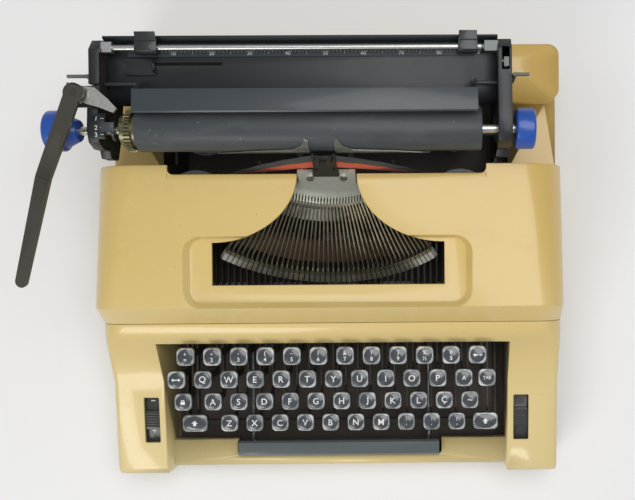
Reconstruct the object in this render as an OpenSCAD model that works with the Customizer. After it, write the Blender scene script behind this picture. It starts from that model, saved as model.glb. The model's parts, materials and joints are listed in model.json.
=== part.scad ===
// Portable typewriter with a moving carriage, forty-three typebars and a two-colour ribbon.
// X runs along the platen to the right, Y runs to the rear and Z runs up from the table.
// The origin is on the table, under the middle of the box round the whole machine.
// In the modules X = 0 is the typing line and Y = 0 the arms' front face; placed() moves them.

/* [Housing] */
// Width of the housing
body_w = 334; // [330:1:342]
// Depth of the housing from the arms' front face to the rear wall
body_d = 320; // [318:1:330]
// Thickness of the moulded walls
wall = 2.5; // [2:0.1:3]
// Height of the rubber feet
foot_h = 6; // [5:0.5:8]
// Width of the arm on each side of the keyboard
arm_w = 38; // [36:0.5:39]
// Height of the arms at their front edge
arm_front_h = 44; // [42:0.5:46]
// Height of the arms at the crease
arm_crease_h = 50; // [48:0.5:52]
// Distance from the front face to the crease
crease_y = 71; // [66:1:76]
// Distance from the front face to the rear edge of the keyboard opening
well_rear_y = 101.8; // [101.5:0.1:104]
// Height of the rear edge of the keyboard opening
well_rear_h = 68; // [66:0.5:70]
// Height of the seam between the housing and the ribbon cover
seam_h = 80; // [78:0.5:82]
// Distance from the front face to the seam
seam_y = 117.4; // [116:0.1:119]
// Height of the side walls where the ribbon cover rests on them
side_h = 60; // [58:0.5:62]
// Height of the low ledge under the knobs
ledge_h = 40; // [36:0.5:44]
// Distance from the front face to the step up from the ledge to the rear deck
deck_y = 279.5; // [278:0.5:281]
// Height of the front rail
rail_h = 30; // [28:0.5:31]
// Depth of the front rail
rail_d = 20; // [19:0.5:20.5]
// Radius of the long rounded shoulders of the housing and the cover
shoulder_r = 20; // [16:1:24]

/* [Ribbon cover] */
// Height of the top of the ribbon cover
cover_h = 97; // [96.5:0.1:98]
// Distance from the front face to the cover's rear edge between its ears
cover_rear_y = 222.4; // [221:0.1:223]
// How far the ears stand behind that edge
ear_d = 6.6; // [5:0.1:7]
// Distance between the two ears
ear_gap = 221; // [216:1:226]
// Half of the width of the window over the typebars
window_x = 81.2; // [78:0.2:83]
// Distance from the front face to the window's front edge
window_y = 145.2; // [143:0.2:148]
// Depth of the straight part of the window
window_d = 29.8; // [27:0.2:32]
// Half of the width of the window's neck at the rear edge
neck_x = 20.7; // [20.6:0.1:22]
// Depth of the recess round the window
recess_h = 5.5; // [4:0.5:6.5]
// Width of the flat border between the window and the recess wall
recess_border = 14; // [12:0.5:16]

/* [Keyboard] */
// Distance between neighbouring keys in a row
key_pitch = 19.05; // [19:0.01:19.1]
// Distance between rows, measured level
row_pitch = 18; // [17.8:0.1:18.2]
// Rise from one row to the next
row_rise = 9.8; // [9:0.1:10]
// Distance from the front face to the middle of the front row
front_row_y = 39.5; // [39:0.1:40.5]
// Height of the front row's key tops
front_row_h = 48.6; // [48:0.1:50]
// Middle of the first key in the rear row
first_key_x = -104.7; // [-105:0.1:-104.4]
// Width of a key cap
cap_w = 12.4; // [11.5:0.1:13]
// Height of a key cap
cap_h = 5; // [4.5:0.1:6]
// Width of the two shift keys
shift_cap_w = 18.4; // [17:0.1:19]
// Thickness of a key lever
lever_t = 1.2; // [1:0.1:1.4]
// Height of a key lever's bar
lever_h = 5; // [4.5:0.1:5.5]
// Distance from the front face to the levers' fulcrum rod
fulcrum_y = 226; // [222:1:230]
// Height of the fulcrum rod
fulcrum_z = 24; // [23:0.5:25]
// Radius of the fulcrum rod
fulcrum_r = 2; // [1.5:0.1:2.5]
// Length of the space bar
space_w = 154.4; // [150:0.2:156]
// Depth of the space bar
space_d = 11.4; // [10:0.1:12]
// Height of the space bar's top
space_h = 36; // [34:0.5:38]
// Length of a slider's slot in the arm
slot_len = 34.6; // [32:0.2:37]
// Width of a slider's slot in the arm
slot_w = 11.4; // [10.5:0.1:12]
// Middle of the slider slots, from the front face
slot_y = 42; // [40:0.5:44]
// Distance from the middle plane to the slider slots
slot_x = 139.2; // [138.4:0.1:141]

/* [Typebars] */
// Number of typebars
bar_count = 43; // [39:2:45]
// Angle between neighbouring typebars
bar_step = 2.29; // [2.2:0.01:2.3]
// Length of a typebar from its pivot to its type
bar_len = 57.7; // [57:0.1:58]
// Thickness of a typebar
bar_t = 1; // [0.8:0.05:1.1]
// Slope of the segment
basket_tilt = 58; // [57.6:0.2:58.4]
// Angle of the resting typebars to the segment
rest_rise = 41; // [40:0.5:42]
// Height of the type above a typebar's middle line
type_h = 5; // [4.5:0.1:5.5]
// Radius of the pivot wire
wire_r = 0.75; // [0.6:0.05:0.9]

/* [Carriage] */
// Radius of the platen
platen_r = 14.25; // [14:0.05:14.5]
// Length of the platen
platen_len = 228.5; // [226:0.5:229]
// Middle of the platen, to the left of the middle plane
platen_x = -8.15; // [-9:0.05:-7.8]
// Distance from the front face to the platen's axis
platen_y = 250.2; // [249.8:0.1:251]
// Height of the platen's axis
platen_z = 113; // [112.6:0.1:113.6]
// Radius of the platen's shaft
shaft_r = 3; // [2.5:0.1:3.5]
// Radius of the two platen knobs
knob_r = 13.6; // [13:0.1:14]
// Width of the right knob
knob_w = 13.2; // [12:0.1:14]
// Number of teeth on the line-space ratchet
ratchet_teeth = 32; // [24:1:36]
// Radius of the ratchet over its teeth
ratchet_r = 14.2; // [13.9:0.05:14.3]
// Width of the carriage rail
rail_w = 14; // [13:0.5:15]
// Height of the carriage rail's underside
rail_z = 86; // [85.5:0.1:86.5]
// Thickness of the carriage rail
rail_t = 5; // [4.5:0.1:5.4]
// Length of the return lever from its pivot to its tip
lever_len = 136; // [128:1:140]
// Radius of the margin rod
rod_r = 2; // [1.6:0.1:2.4]
// Tooth pitch of the carriage rack, one letter space
letter_space = 2.54; // [2.5:0.01:2.6]

/* [Ribbon] */
// Distance from the middle plane to a ribbon spool's axis
spool_x = 92.5; // [91:0.5:94]
// Distance from the front face to the spools' axes
spool_y = 203; // [202:0.5:204]
// Radius of a ribbon spool
spool_r = 23; // [21:0.5:24]
// Width of the ribbon
ribbon_w = 13; // [12:0.5:13]

/* [Hidden] */

$fn = 48;
seat = 0.3;          // gap between separate pieces that lie beside each other
fit = 0.05;          // radial play of a shaft in its bearing
cut = 1;             // how far a cutter runs past what it cuts

half_w = body_w / 2;
well_x = half_w - arm_w;
plate_t = 2;
plate_z = foot_h + seat;
floor_z = plate_z + plate_t;
rail_y = 2.5;
ledge_y = cover_rear_y + ear_d + 1;
deck_x = 131;
cover_z = side_h + seat;
cover_y = seam_y + seat;
slope_d = 12;
tower_x = 121;

row_offset = [0, 2, 3, 5];       // quarter pitches that a row's first key stands to the right
row_keys = [11, 11, 11, 10];
quarter = key_pitch / 4;
stem_d = 5;
lever_z = fulcrum_z - lever_h / 2;
notch_x = space_w / 2 + 2;
notch_y = 10;
space_y = notch_y + 1.2;
rank_g = 18;
rank_h = 22;

type_point = [platen_y - platen_r * sin(basket_tilt), platen_z + platen_r * cos(basket_tilt)];
type_gap = 0.4;
basket_y = type_point[0] - (type_h + type_gap) * sin(basket_tilt);
basket_z = type_point[1] + (type_h + type_gap) * cos(basket_tilt);
mid_rank = (bar_count - 1) / 2;
fan_angle = mid_rank * bar_step + 1.5;
comb_in = bar_len - 2;
comb_out = bar_len + 13.4;
tongue_x = neck_x - 0.9;
tongue_end = 25;

platen_l = platen_x - platen_len / 2;
platen_rt = platen_x + platen_len / 2;
plate_l = -147;                  // left side plate of the carriage, outer face
plate_rt = 119;                  // right side plate of the carriage, outer face
side_t = 1.6;
rail_y0 = 286;
rail_len = 250;
carriage_gap = 0.4;
rod_y = 304.3;
rod_z = 117;
roller_r = 5;
roller_z = platen_z - platen_r - roller_r - seat;
release_y = 285.5;
release_z = 100;
release_r = 1.5;
paper_free_y = platen_y + 42;
paper_free_z = 98;
pivot_x = -157;
pivot_y = 271.5;
pivot_r = 2.5;
blade_z = 133.4;
blade_t = 2.6;
ratchet_x = platen_l - 10.4;
lever_flat = 58;                 // level part of the return lever's blade
lever_drop = 15;
lever_heading = -110;
lever_reach = lever_flat + (lever_len - lever_flat - 4) * cos(lever_drop);
middle_x = (half_w + pivot_x + lever_reach * cos(lever_heading) - 4) / 2;
spool_z = 74;
ribbon_guide = [46, 226.4, 91];

// Moves a piece from the typing line's frame to the middle of the whole machine.
module placed() {
    translate([-middle_x, -body_d / 2, 0]) children();
}

// Draws both sides of what stands on the right.
module both_sides() {
    children();
    mirror([1, 0, 0]) children();
}

// Extrudes an outline drawn in Y and Z along X, from x0 to x1.
module along_x(x0, x1) {
    translate([x0, 0, 0]) rotate([90, 0, 90]) linear_extrude(x1 - x0) children();
}

// A round bar along X from x0 to x1, at y and z.
module rod_x(x0, x1, y, z, r) {
    translate([x0, y, z]) rotate([0, 90, 0]) cylinder(h = x1 - x0, r = r);
}

// A rectangle round its middle with true round corners.
module round_rect(w, d, r) {
    square([w - 2 * r, d], center = true);
    square([w, d - 2 * r], center = true);
    for (x = [-1, 1], y = [-1, 1]) translate([x * (w / 2 - r), y * (d / 2 - r)]) circle(r);
}

// A box with round upright corners, from corner a to corner b.
module round_box(a, b, r) {
    translate([(a[0] + b[0]) / 2, (a[1] + b[1]) / 2, a[2]])
        linear_extrude(b[2] - a[2]) round_rect(b[0] - a[0], b[1] - a[1], r);
}

module box(a, b) {
    translate(a) cube(b - a);
}

// The points of an arc.
function arc(c, r, a0, a1, n = 8) =
    [for (i = [0 : n]) let (a = a0 + (a1 - a0) * i / n) c + r * [cos(a), sin(a)]];

// A cross-section of the housing in X and Z: flat top, round shoulders, upright sides.
function shoulder_section(w, z0, z1, r) = concat(
    [[w, z0]], arc([w - r, z1 - r], r, 0, 90), arc([r - w, z1 - r], r, 90, 180), [[-w, z0]]);

// A thin slice of the housing at y.
module slice(y, w, z0, z1, r, t = 0.01) {
    translate([0, y + t, 0]) rotate([90, 0, 0]) linear_extrude(t)
        polygon(shoulder_section(w, z0, z1, r));
}

// The housing's front, from the arms to the seam. in is how far it lies inside the outer face.
module front_body(in, z0) {
    edge_r = 4;
    w = half_w - in;
    ridge_y = well_rear_y + 5.8;
    ridge_h = seam_h - 3.2;
    hull() {
        slice(in, w, z0, arm_front_h - edge_r - in, edge_r);
        slice(in + edge_r, w, z0, arm_front_h - in, edge_r);
        slice(crease_y, w, z0, arm_crease_h - in, edge_r);
    }
    hull() {
        slice(crease_y, w, z0, arm_crease_h - in, edge_r);
        slice(well_rear_y, w, z0, well_rear_h - in, edge_r * 2);
    }
    hull() {
        slice(well_rear_y, w, z0, well_rear_h - in, edge_r * 2);
        slice(ridge_y, w, z0, ridge_h - in, shoulder_r - 3.2);
        slice(seam_y - 0.01, w, z0, seam_h - in, shoulder_r);
    }
}

module slider_slots() {
    both_sides() round_box([slot_x - slot_w / 2, slot_y - slot_len / 2, rail_h],
        [slot_x + slot_w / 2, slot_y + slot_len / 2, arm_crease_h + cut], 1);
}

// The front rail with the notch for the space bar.
module front_rail() {
    top = [[rail_y, foot_h], [rail_y, rail_h - 3], [rail_y + 2, rail_h - 1],
        [rail_y + rail_d, rail_h], [rail_y + rail_d, rail_h - 10],
        [rail_y + rail_d - wall, rail_h - 10], [rail_y + rail_d - wall, rail_h - wall],
        [rail_y + 2 + wall, rail_h - wall - 1], [rail_y + wall, rail_h - 5],
        [rail_y + wall, foot_h]];
    difference() {
        along_x(-well_x - cut, well_x + cut) polygon(top);
        round_box([-notch_x, notch_y, rail_h - 14],
            [notch_x, rail_y + rail_d + 10, rail_h + cut], 3);
    }
    box([-notch_x, notch_y - 2, rail_h - 14], [notch_x, notch_y, rail_h - 1.5]);
}

module rear_body() {
    difference() {
        union() {
            round_box([-half_w, seam_y - 20, foot_h], [half_w, body_d, ledge_h], 8);
            round_box([-half_w, deck_y, foot_h], [half_w, body_d, side_h], 8);
            box([-half_w, seam_y - 0.01, foot_h], [half_w, ledge_y, side_h]);
        }
        box([-half_w - cut, 0, 0], [half_w + cut, seam_y - 0.01, side_h + cut]);
        round_box([wall - half_w, seam_y - 30, 0],
            [half_w - wall, body_d - wall, ledge_h - wall], 6);
        round_box([wall - half_w, deck_y + wall, 0],
            [half_w - wall, body_d - wall, side_h - wall], 6);
        box([wall - half_w, seam_y - 1, 0], [half_w - wall, ledge_y - wall, side_h + cut]);
        box([-deck_x, ledge_y - 10, 0], [deck_x, body_d - 14, side_h + cut]);
    }
}

module base_shell() {
    color("khaki") placed() {
        difference() {
            front_body(0, foot_h);
            difference() {
                front_body(wall, 0);
                box([-well_x - wall, -cut, -cut], [well_x + wall, well_rear_y + wall, cover_h]);
            }
            box([-well_x, -cut, 0], [well_x, well_rear_y, cover_h]);
            box([-well_x - wall, well_rear_y - cut, 0],
                [well_x + wall, well_rear_y + wall, well_rear_h - 9]);
            slider_slots();
            both_sides() box([well_x - cut, rail_y + wall, -cut],
                [well_x + wall + cut, well_rear_y + 2 * wall, floor_z + seat]);
        }
        front_rail();
        rear_body();
    }
}

// The cover's rounded body, in millimetres inside its outer face.
module cover_body(in, z0) {
    w = half_w - in;
    hull() {
        slice(cover_y + in / 2, w, z0, seam_h + seat - in, shoulder_r);
        slice(cover_y + slope_d, w, z0, cover_h - 1 - in, shoulder_r);
        slice(cover_rear_y - 4.4, w, z0, cover_h - in, shoulder_r);
        slice(cover_rear_y + ear_d, w, z0, cover_h - 1.5 - in, shoulder_r);
    }
}

// The recess round the window, widened below by grow.
module recess(grow) {
    y0 = window_y - recess_border + 3;
    y1 = window_y + window_d + 2.5;
    x1 = window_x + recess_border;
    hull() {
        round_box([-x1 - grow, y0 - grow, cover_h - recess_h - grow],
            [x1 + grow, y1 + grow, cover_h - recess_h], 6);
        round_box([-x1 - 6 - grow, y0 - 6 - grow, cover_h],
            [x1 + 6 + grow, y1 + 2 + grow, cover_h + cut], 8);
    }
}

// The window with its two hollow-sided shoulders and its neck.
module window() {
    a = window_x - neck_x;
    b = cover_rear_y - window_y - window_d;
    side = [for (t = [90 : -6 : 0])
        [window_x - a * cos(t), cover_rear_y - b * sin(t)]];
    edge = concat([[window_x, window_y]], side, [[neck_x, cover_rear_y + 9]]);
    translate([0, 0, side_h]) linear_extrude(cover_h)
        polygon(concat(edge, [for (i = [len(edge) - 1 : -1 : 0]) [-edge[i][0], edge[i][1]]]));
}

module ribbon_cover() {
    color("khaki") placed() difference() {
        cover_body(0, cover_z);
        difference() {
            cover_body(wall, 0);
            recess(wall);
        }
        recess(0);
        window();
        round_box([-ear_gap / 2, cover_rear_y, 0],
            [ear_gap / 2, cover_rear_y + 3 * ear_d, cover_h + cut], 4);
        box([wall - half_w, cover_rear_y, 0], [half_w - wall, cover_rear_y + 3 * ear_d,
            cover_h - 1.5 - wall]);
        along_x(-ear_gap / 2, ear_gap / 2) polygon([[cover_rear_y - 4.4, cover_h + cut],
            [cover_rear_y - 4.4, cover_h], [cover_rear_y, cover_h - 1.6],
            [cover_rear_y + cut, cover_h + cut]]);
    }
}

module bottom_plate() {
    gap = wall + seat;
    color("dimgray") placed() difference() {
        round_box([gap - half_w, rail_y + gap, plate_z],
            [half_w - gap, body_d - gap, floor_z], 6);
        for (x = [-90 : 45 : 90], y = [140, 180, 260])
            round_box([x - 15, y - 4, 0], [x + 15, y + 4, floor_z + cut], 3.5);
    }
}

module rubber_feet() {
    color("black") placed()
        for (x = [-142, 142], y = [24, body_d - 24]) translate([x, y, 0]) {
            cylinder(h = plate_z, r1 = 8, r2 = 9.5);
        }
}

// Steel frame: two side plates and the bars between them.
module chassis() {
    t = 2;
    side = [[30, floor_z], [30, 16], [104, 16], [112, 34], [150, 44], [158, 72], [170, 83],
        [186, 83], [194, 72], [228, 70], [236, 36], [278, 36], [rail_y0 - 2, 60], [rail_y0 + 4, rail_z],
        [rail_y0 + rail_w - 4, rail_z], [rail_y0 + rail_w, 60], [rail_y0 + rail_w + 4, floor_z]];
    color("dimgray") placed() {
        difference() {
            both_sides() along_x(tower_x, tower_x + t) polygon(side);
            rod_x(-half_w, half_w, fulcrum_y, fulcrum_z, fulcrum_r + fit);
        }
        box([-tower_x, 30, floor_z], [tower_x, 34, 11]);
        rod_x(-tower_x - 1, tower_x + 1, space_pivot_y, space_pivot_z, 1.5);
        box([-tower_x, rail_y0 + 4, rail_z - 12], [tower_x, rail_y0 + rail_w - 4, rail_z]);
        box([-tower_x, rail_y0 + rail_w + 1, floor_z], [tower_x, rail_y0 + rail_w + 3, 40]);
        segment_bracket();
        spool_brackets();
        drum_bracket();
        escapement_bracket();
    }
}

// A point of the basket's frame in Y and Z.
function in_basket(y, z) = [basket_y + y * cos(basket_tilt) - z * sin(basket_tilt),
    basket_z + y * sin(basket_tilt) + z * cos(basket_tilt)];

// The bar behind the segment, and the two plates that carry it.
module segment_bracket() {
    back = -9 - seat;
    box([-tower_x, 216, 62], [tower_x, 222, 66]);
    both_sides() along_x(24, 30) polygon([in_basket(-62, back), in_basket(-39, back),
        in_basket(-39, back - 4), [222, 66], [222, 62], [211, 62]]);
}

module spool_brackets() {
    both_sides() {
        translate(ribbon_guide) rotate([-20, 0, 0]) translate([0, 1.6, -11]) cylinder(h = 19, r = 1);
        box([44.5, 221.9, 63], [47.5, 225.4, 84]);
        box([spool_x - 6, spool_y - 6, 66], [spool_x + 6, 222, 68]);
        translate([spool_x, spool_y, 68]) cylinder(h = spool_z - 68 - seat, r = 5);
        translate([spool_x, spool_y, 66]) cylinder(h = 24, r = 2.5);
    }
}

drum_x = -96;
drum_y = 262;
drum_z = 46;
module drum_bracket() {
    box([-tower_x, drum_y - 8, drum_z - 4], [drum_x + 10, drum_y + 8, drum_z - 2]);
    translate([drum_x, drum_y, drum_z - 4]) cylinder(h = 22, r = 3);
    box([-tower_x, drum_y - 8, 33], [-tower_x + 2, drum_y + 8, drum_z - 2]);
}

pinion_r = letter_space * 12 / (2 * PI);
rack_z = 80;
escape_y = 272;
escape_z = rack_z - 1.2 - pinion_r;
module escapement_bracket() {
    difference() {
        box([-12, rail_y0 - 2, escape_z - 8], [12, rail_y0, escape_z + 5]);
        translate([0, rail_y0 + 4, escape_z]) rotate([90, 0, 0]) cylinder(h = 10, r = 1.5 + fit);
    }
    both_sides() box([8, rail_y0, rail_z - 12], [12, rail_y0 + 4, escape_z + 5]);
}

module carriage_rail() {
    color("silver") placed()
        box([-rail_len / 2, rail_y0, rail_z], [rail_len / 2, rail_y0 + rail_w, rail_z + rail_t]);
}

// The typebar basket's frame: Y runs up the slope to the type point, Z stands off it.
module basket() {
    translate([0, basket_y, basket_z]) rotate([basket_tilt, 0, 0]) children();
}

// A fan-shaped plate round the type point, from radius r0 to r1.
module fan(r0, r1, half, z0, z1) {
    translate([0, 0, z0]) rotate([0, 0, -90 - half]) rotate_extrude(angle = 2 * half, $fn = 96)
        translate([r0, 0]) square([r1 - r0, z1 - z0]);
}

module segment() {
    low = -9;
    top = -3;
    comb = [[comb_in - 0.01, low], [comb_out, low], [comb_out, 6.4], [bar_len + 5.6, 1.6],
        [bar_len + 2.6, 1.8], [bar_len + 1.2, 2.3], [comb_in - 0.01, 1.8]];
    color("silver") placed() difference() {
        basket() segment_body(low, top, comb);
        both_sides() box([neck_x + 9, 190, cover_h - wall - 2 * seat], [70, 236, cover_h + 9]);
    }
}

module segment_body(low, top, comb) {
    difference() {
        union() {
            intersection() {
                fan(36, comb_in, fan_angle, low, top);
                box([-80, -90, low], [80, -38, 0]);
            }
            rotate([0, 0, -90 - fan_angle]) rotate_extrude(angle = 2 * fan_angle, $fn = 96)
                polygon(comb);
            difference() {
                union() {
                    box([-tongue_x, -50, low], [tongue_x, -tongue_end - 5, top]);
                    box([-tongue_x, -50, -5.6], [tongue_x, -tongue_end, top]);
                }
                difference() {
                    translate([0, 0, top - 1.2]) cylinder(h = 4, r = 70);
                    translate([0, 0, top - 2]) cylinder(h = 5, r = 43, $fn = 96);
                }
            }
        }
        for (i = [0 : bar_count - 1]) rotate([0, 0, (i - mid_rank) * bar_step])
            box([-bar_t / 2 - 0.15, -comb_out - cut, -3.2], [bar_t / 2 + 0.15, -comb_in + 0.3, 12]);
        rotate([0, 0, -90 - fan_angle]) rotate_extrude(angle = 2 * fan_angle, $fn = 96)
            translate([bar_len, 0]) circle(r = wire_r + fit, $fn = 16);
        for (x = [-11.5, 11.5]) translate([x, -31, top - 4]) cylinder(h = 5, r = 1.5);
    }
}

module pivot_wire() {
    color("silver") placed() basket()
        rotate([0, 0, -90 - fan_angle + 0.4]) rotate_extrude(angle = 2 * fan_angle - 0.8, $fn = 96)
            translate([bar_len, 0]) circle(r = wire_r, $fn = 16);
}

// One typebar at rest: a stamped bar with its type at the end.
module typebar(rank) {
    bar = [[0, 2.4], [-3, 2.2], [-14, 1.6], [-bar_len + 9, 1.4], [-bar_len + 7, type_h - 2],
        [-bar_len - 0.6, type_h - 2], [-bar_len - 0.6, -1.2], [-14, -1.6], [-3, -2.2], [0, -2.4]];
    rotate([0, 0, (rank - mid_rank) * bar_step]) translate([0, -bar_len, 0])
        rotate([-rest_rise, 0, 0]) difference() {
            union() {
                along_x(-bar_t / 2, bar_t / 2) polygon(bar);
                rod_x(-bar_t / 2, bar_t / 2, 0, 0, 2.4);
                box([-1.5, -bar_len - 0.6, type_h - 3], [1.5, -bar_len + 7, type_h]);
            }
            rod_x(-3, 3, 0, 0, wire_r + fit);
        }
}

module typebars() {
    color("dimgray") placed() basket()
        for (i = [0 : bar_count - 1]) if (i != rank_g && i != rank_h) typebar(i);
}

module typebar_g() {
    color("dimgray") placed() basket() typebar(rank_g);
}

module typebar_h() {
    color("dimgray") placed() basket() typebar(rank_h);
}

// The padded arc that the typebars lie on, and its two lugs.
module type_rest() {
    reach = 40;
    r = bar_len + reach * cos(rest_rise);
    z = reach * sin(rest_rise) - 1.7 / cos(rest_rise) - seat;
    half = mid_rank * bar_step + 2;
    end_x = r * sin(half) - 0.2;
    end = in_basket(-r * cos(half), z);
    arm_z = spool_z - 4;
    color("saddlebrown") placed() {
        basket() rotate([0, 0, -90 - half]) rotate_extrude(angle = 2 * half, $fn = 96)
            polygon([[r - 5, z - 5 * tan(rest_rise)], [r + 5, z + 5 * tan(rest_rise)],
                [r + 5, z + 5 * tan(rest_rise) - 4], [r - 5, z - 5 * tan(rest_rise) - 4]]);
        both_sides() {
            box([end_x, end[0] - 1, arm_z], [end_x + 3, end[0] + 4, end[1] - 1]);
            box([end_x, end[0] - 1, arm_z], [tower_x - seat, end[0] + 4, arm_z + 2.7]);
        }
    }
}

// Two prongs that steady a typebar as it strikes.
module type_guide() {
    color("dimgray") placed() basket() {
        both_sides() box([2.3, -12.5, -2.7], [5.4, -8, 2]);
        difference() {
            union() {
                box([-9, -29, -3], [9, -22, -2.2]);
                box([-5.4, -24, -3], [5.4, -8, -2.2]);
            }
            box([-2.3, -13, -4], [2.3, 0, 0]);
        }
    }
}

// Two clear curved wings that hold cards against the platen.
module card_holder() {
    r0 = platen_r + 0.6;
    r1 = r0 + 0.8;
    wing = [[8.5, 106], [8.5, 125], [11, 126], [14, 122], [20, 118.5], [48, 116.5], [66, 112.5],
        [72, 109], [66, 106]];
    color([0.5, 0.55, 0.55, 0.6]) placed() both_sides() intersection() {
        difference() {
            rod_x(8, 80, platen_y, platen_z, r1);
            rod_x(7, 81, platen_y, platen_z, r0);
        }
        translate([0, platen_y, 0]) rotate([90, 0, 0]) linear_extrude(30) polygon(wing);
    }
    color([0.5, 0.55, 0.55, 0.6]) placed() basket() both_sides() along_x(15.5, 19)
        polygon([[-42, -9], [-30, -9], [-13.2, -12.5], [-13.9, -13.6], [-30.4, -10.2], [-42, -10.2]]);
}

module ribbon_vibrator() {
    color("dimgray") placed() basket() {
        both_sides() {
            box([6.2, -24, -4.1], [8, -7, -3.3]);
            box([6.2, -8.5, -5], [8, -7, -4.1]);
        }
        box([-8, -24, -4.1], [8, -22.6, -3.3]);
    }
}

// The four corners of the ribbon's cross-section at point c.
function ribbon_corners(c, up, out, w) = [c - up * w / 2 - out, c + up * w / 2 - out,
    c + up * w / 2 + out, c - up * w / 2 + out];

// The ribbon from each spool round its guide to the vibrator, one strip.
module ribbon() {
    t = 0.4;
    lean = 20;
    middle = in_basket(-22 + ribbon_w / 2, -4.8 + t / 2);
    up = [0, cos(basket_tilt), sin(basket_tilt)];
    right = [
        ribbon_corners([9, middle[0], middle[1]], up, t / 2 * [0, up[2], -up[1]], ribbon_w),
        ribbon_corners(ribbon_guide, [0, sin(lean), cos(lean)],
            t / 2 * [0, cos(lean), -sin(lean)], ribbon_w),
        ribbon_corners([spool_x - 18, spool_y + 19.6, spool_z + 0.4 + ribbon_w / 2], [0, 0, 1],
            t / 2 * [0, 1, 0], ribbon_w - 2),
        ribbon_corners([spool_x - 6, spool_y + 17.4, spool_z + 0.4 + ribbon_w / 2], [0, 0, 1],
            t / 2 * [0, 1, 0], ribbon_w - 2)];
    stations = concat([for (i = [3 : -1 : 0]) [for (p = right[i]) [-p[0], p[1], p[2]]]], right);
    last = len(stations) - 1;
    faces = [for (i = [0 : last - 1], k = [0 : 3]) let (a = 4 * i, j = (k + 1) % 4)
        each [[a + k, a + j, a + 4 + k], [a + j, a + 4 + j, a + 4 + k]]];
    color("darkred") placed() polyhedron(points = [for (s = stations) each s],
        faces = concat(faces, [[2, 1, 0], [3, 2, 0]],
            [[4 * last, 4 * last + 1, 4 * last + 2], [4 * last, 4 * last + 2, 4 * last + 3]]));
}

module spool() {
    translate([0, 0, spool_z]) difference() {
        union() {
            cylinder(h = 0.8, r = spool_r);
            cylinder(h = ribbon_w, r = 16.5);
            translate([0, 0, ribbon_w]) cylinder(h = 0.8, r = spool_r);
            translate([0, 0, ribbon_w]) cylinder(h = 2.4, r = 7);
        }
        translate([0, 0, -cut]) cylinder(h = ribbon_w + 5, r = 2.5 + fit);
        for (a = [0 : 60 : 300]) rotate([0, 0, a]) translate([12, 0, ribbon_w + 0.8])
            cylinder(h = 3, r = 2.4);
    }
}

module spool_left() {
    color("dimgray") placed() translate([-spool_x, spool_y, 0]) spool();
}

module spool_right() {
    color("dimgray") placed() translate([spool_x, spool_y, 0]) spool();
}

// The rod that all key levers turn on.
module key_fulcrum() {
    color("silver") placed() rod_x(-tower_x - 2, tower_x + 2, fulcrum_y, fulcrum_z, fulcrum_r);
}

// A lever from the fulcrum to y, and its stem up to z.
module key_lever(x, y, z, shift = 0) {
    t = lever_t;
    difference() {
        union() {
            along_x(x - t / 2, x + t / 2) polygon([[y - stem_d / 2, z], [y + stem_d / 2, z],
                [y + stem_d / 2, lever_z + lever_h + 4], [y + stem_d / 2 + 4, lever_z + lever_h],
                [fulcrum_y, lever_z + lever_h], [fulcrum_y, lever_z], [y - stem_d / 2, lever_z]]);
            rod_x(x - t / 2, x + t / 2, fulcrum_y, fulcrum_z, fulcrum_r + 2);
        }
        rod_x(x - t, x + t, fulcrum_y, fulcrum_z, fulcrum_r + fit);
    }
    if (shift != 0) box([min(x, x + shift) - t / 2, y - stem_d / 2, z - 2],
        [max(x, x + shift) + t / 2, y + stem_d / 2, z]);
}

// A key cap with a rim and a gently domed window, its top at z.
module key_cap(x, y, z, w = cap_w) {
    translate([x, y, z - cap_h]) {
        linear_extrude(cap_h - 1) round_rect(w, cap_w, 3.4);
        difference() {
            linear_extrude(cap_h) round_rect(w - 0.8, cap_w - 0.8, 3.2);
            translate([0, 0, cap_h - 0.7]) linear_extrude(cut) round_rect(w - 2.6, cap_w - 2.6, 2.4);
        }
    }
}

function row_y(r) = front_row_y + (3 - r) * row_pitch;
function row_z(r) = front_row_h + (3 - r) * row_rise;
function key_x(r, i) = first_key_x + row_offset[r] * quarter + i * key_pitch;

module letter_key(r, i) {
    key_lever(key_x(r, i), row_y(r), row_z(r) - cap_h);
    key_cap(key_x(r, i), row_y(r), row_z(r));
}

module key_row(r, skip = []) {
    color("gainsboro") placed()
        for (i = [0 : row_keys[r] - 1]) if (len(search(i, skip)) == 0) letter_key(r, i);
}

module key_row_1() { key_row(0); }
module key_row_2() { key_row(1); }
module key_row_3() { key_row(2, [4, 5]); }
module key_row_4() { key_row(3); }
module key_g() { color("gainsboro") placed() letter_key(2, 4); }
module key_h() { color("gainsboro") placed() letter_key(2, 5); }

// A key that stands outside the letter keys: cap at x, lever at lever_x.
module outer_key(x, r, lever_x, w = cap_w) {
    color("gainsboro") placed() {
        key_lever(lever_x, row_y(r), row_z(r) - cap_h, x - lever_x);
        key_cap(x, row_y(r), row_z(r), w);
    }
}

module shift_key_left() { outer_key(-106.8, 3, -110.4, shift_cap_w); }
module shift_key_right() { outer_key(112.2, 3, 115.2, shift_cap_w); }
module shift_lock_key() { outer_key(-112.6, 2, -114.4); }
module margin_release_key() { outer_key(-114.4, 1, -118); }
module backspace_key() { outer_key(104.8, 0, 106.2); }
module tab_key() { outer_key(112.2, 1, 111); }

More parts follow.
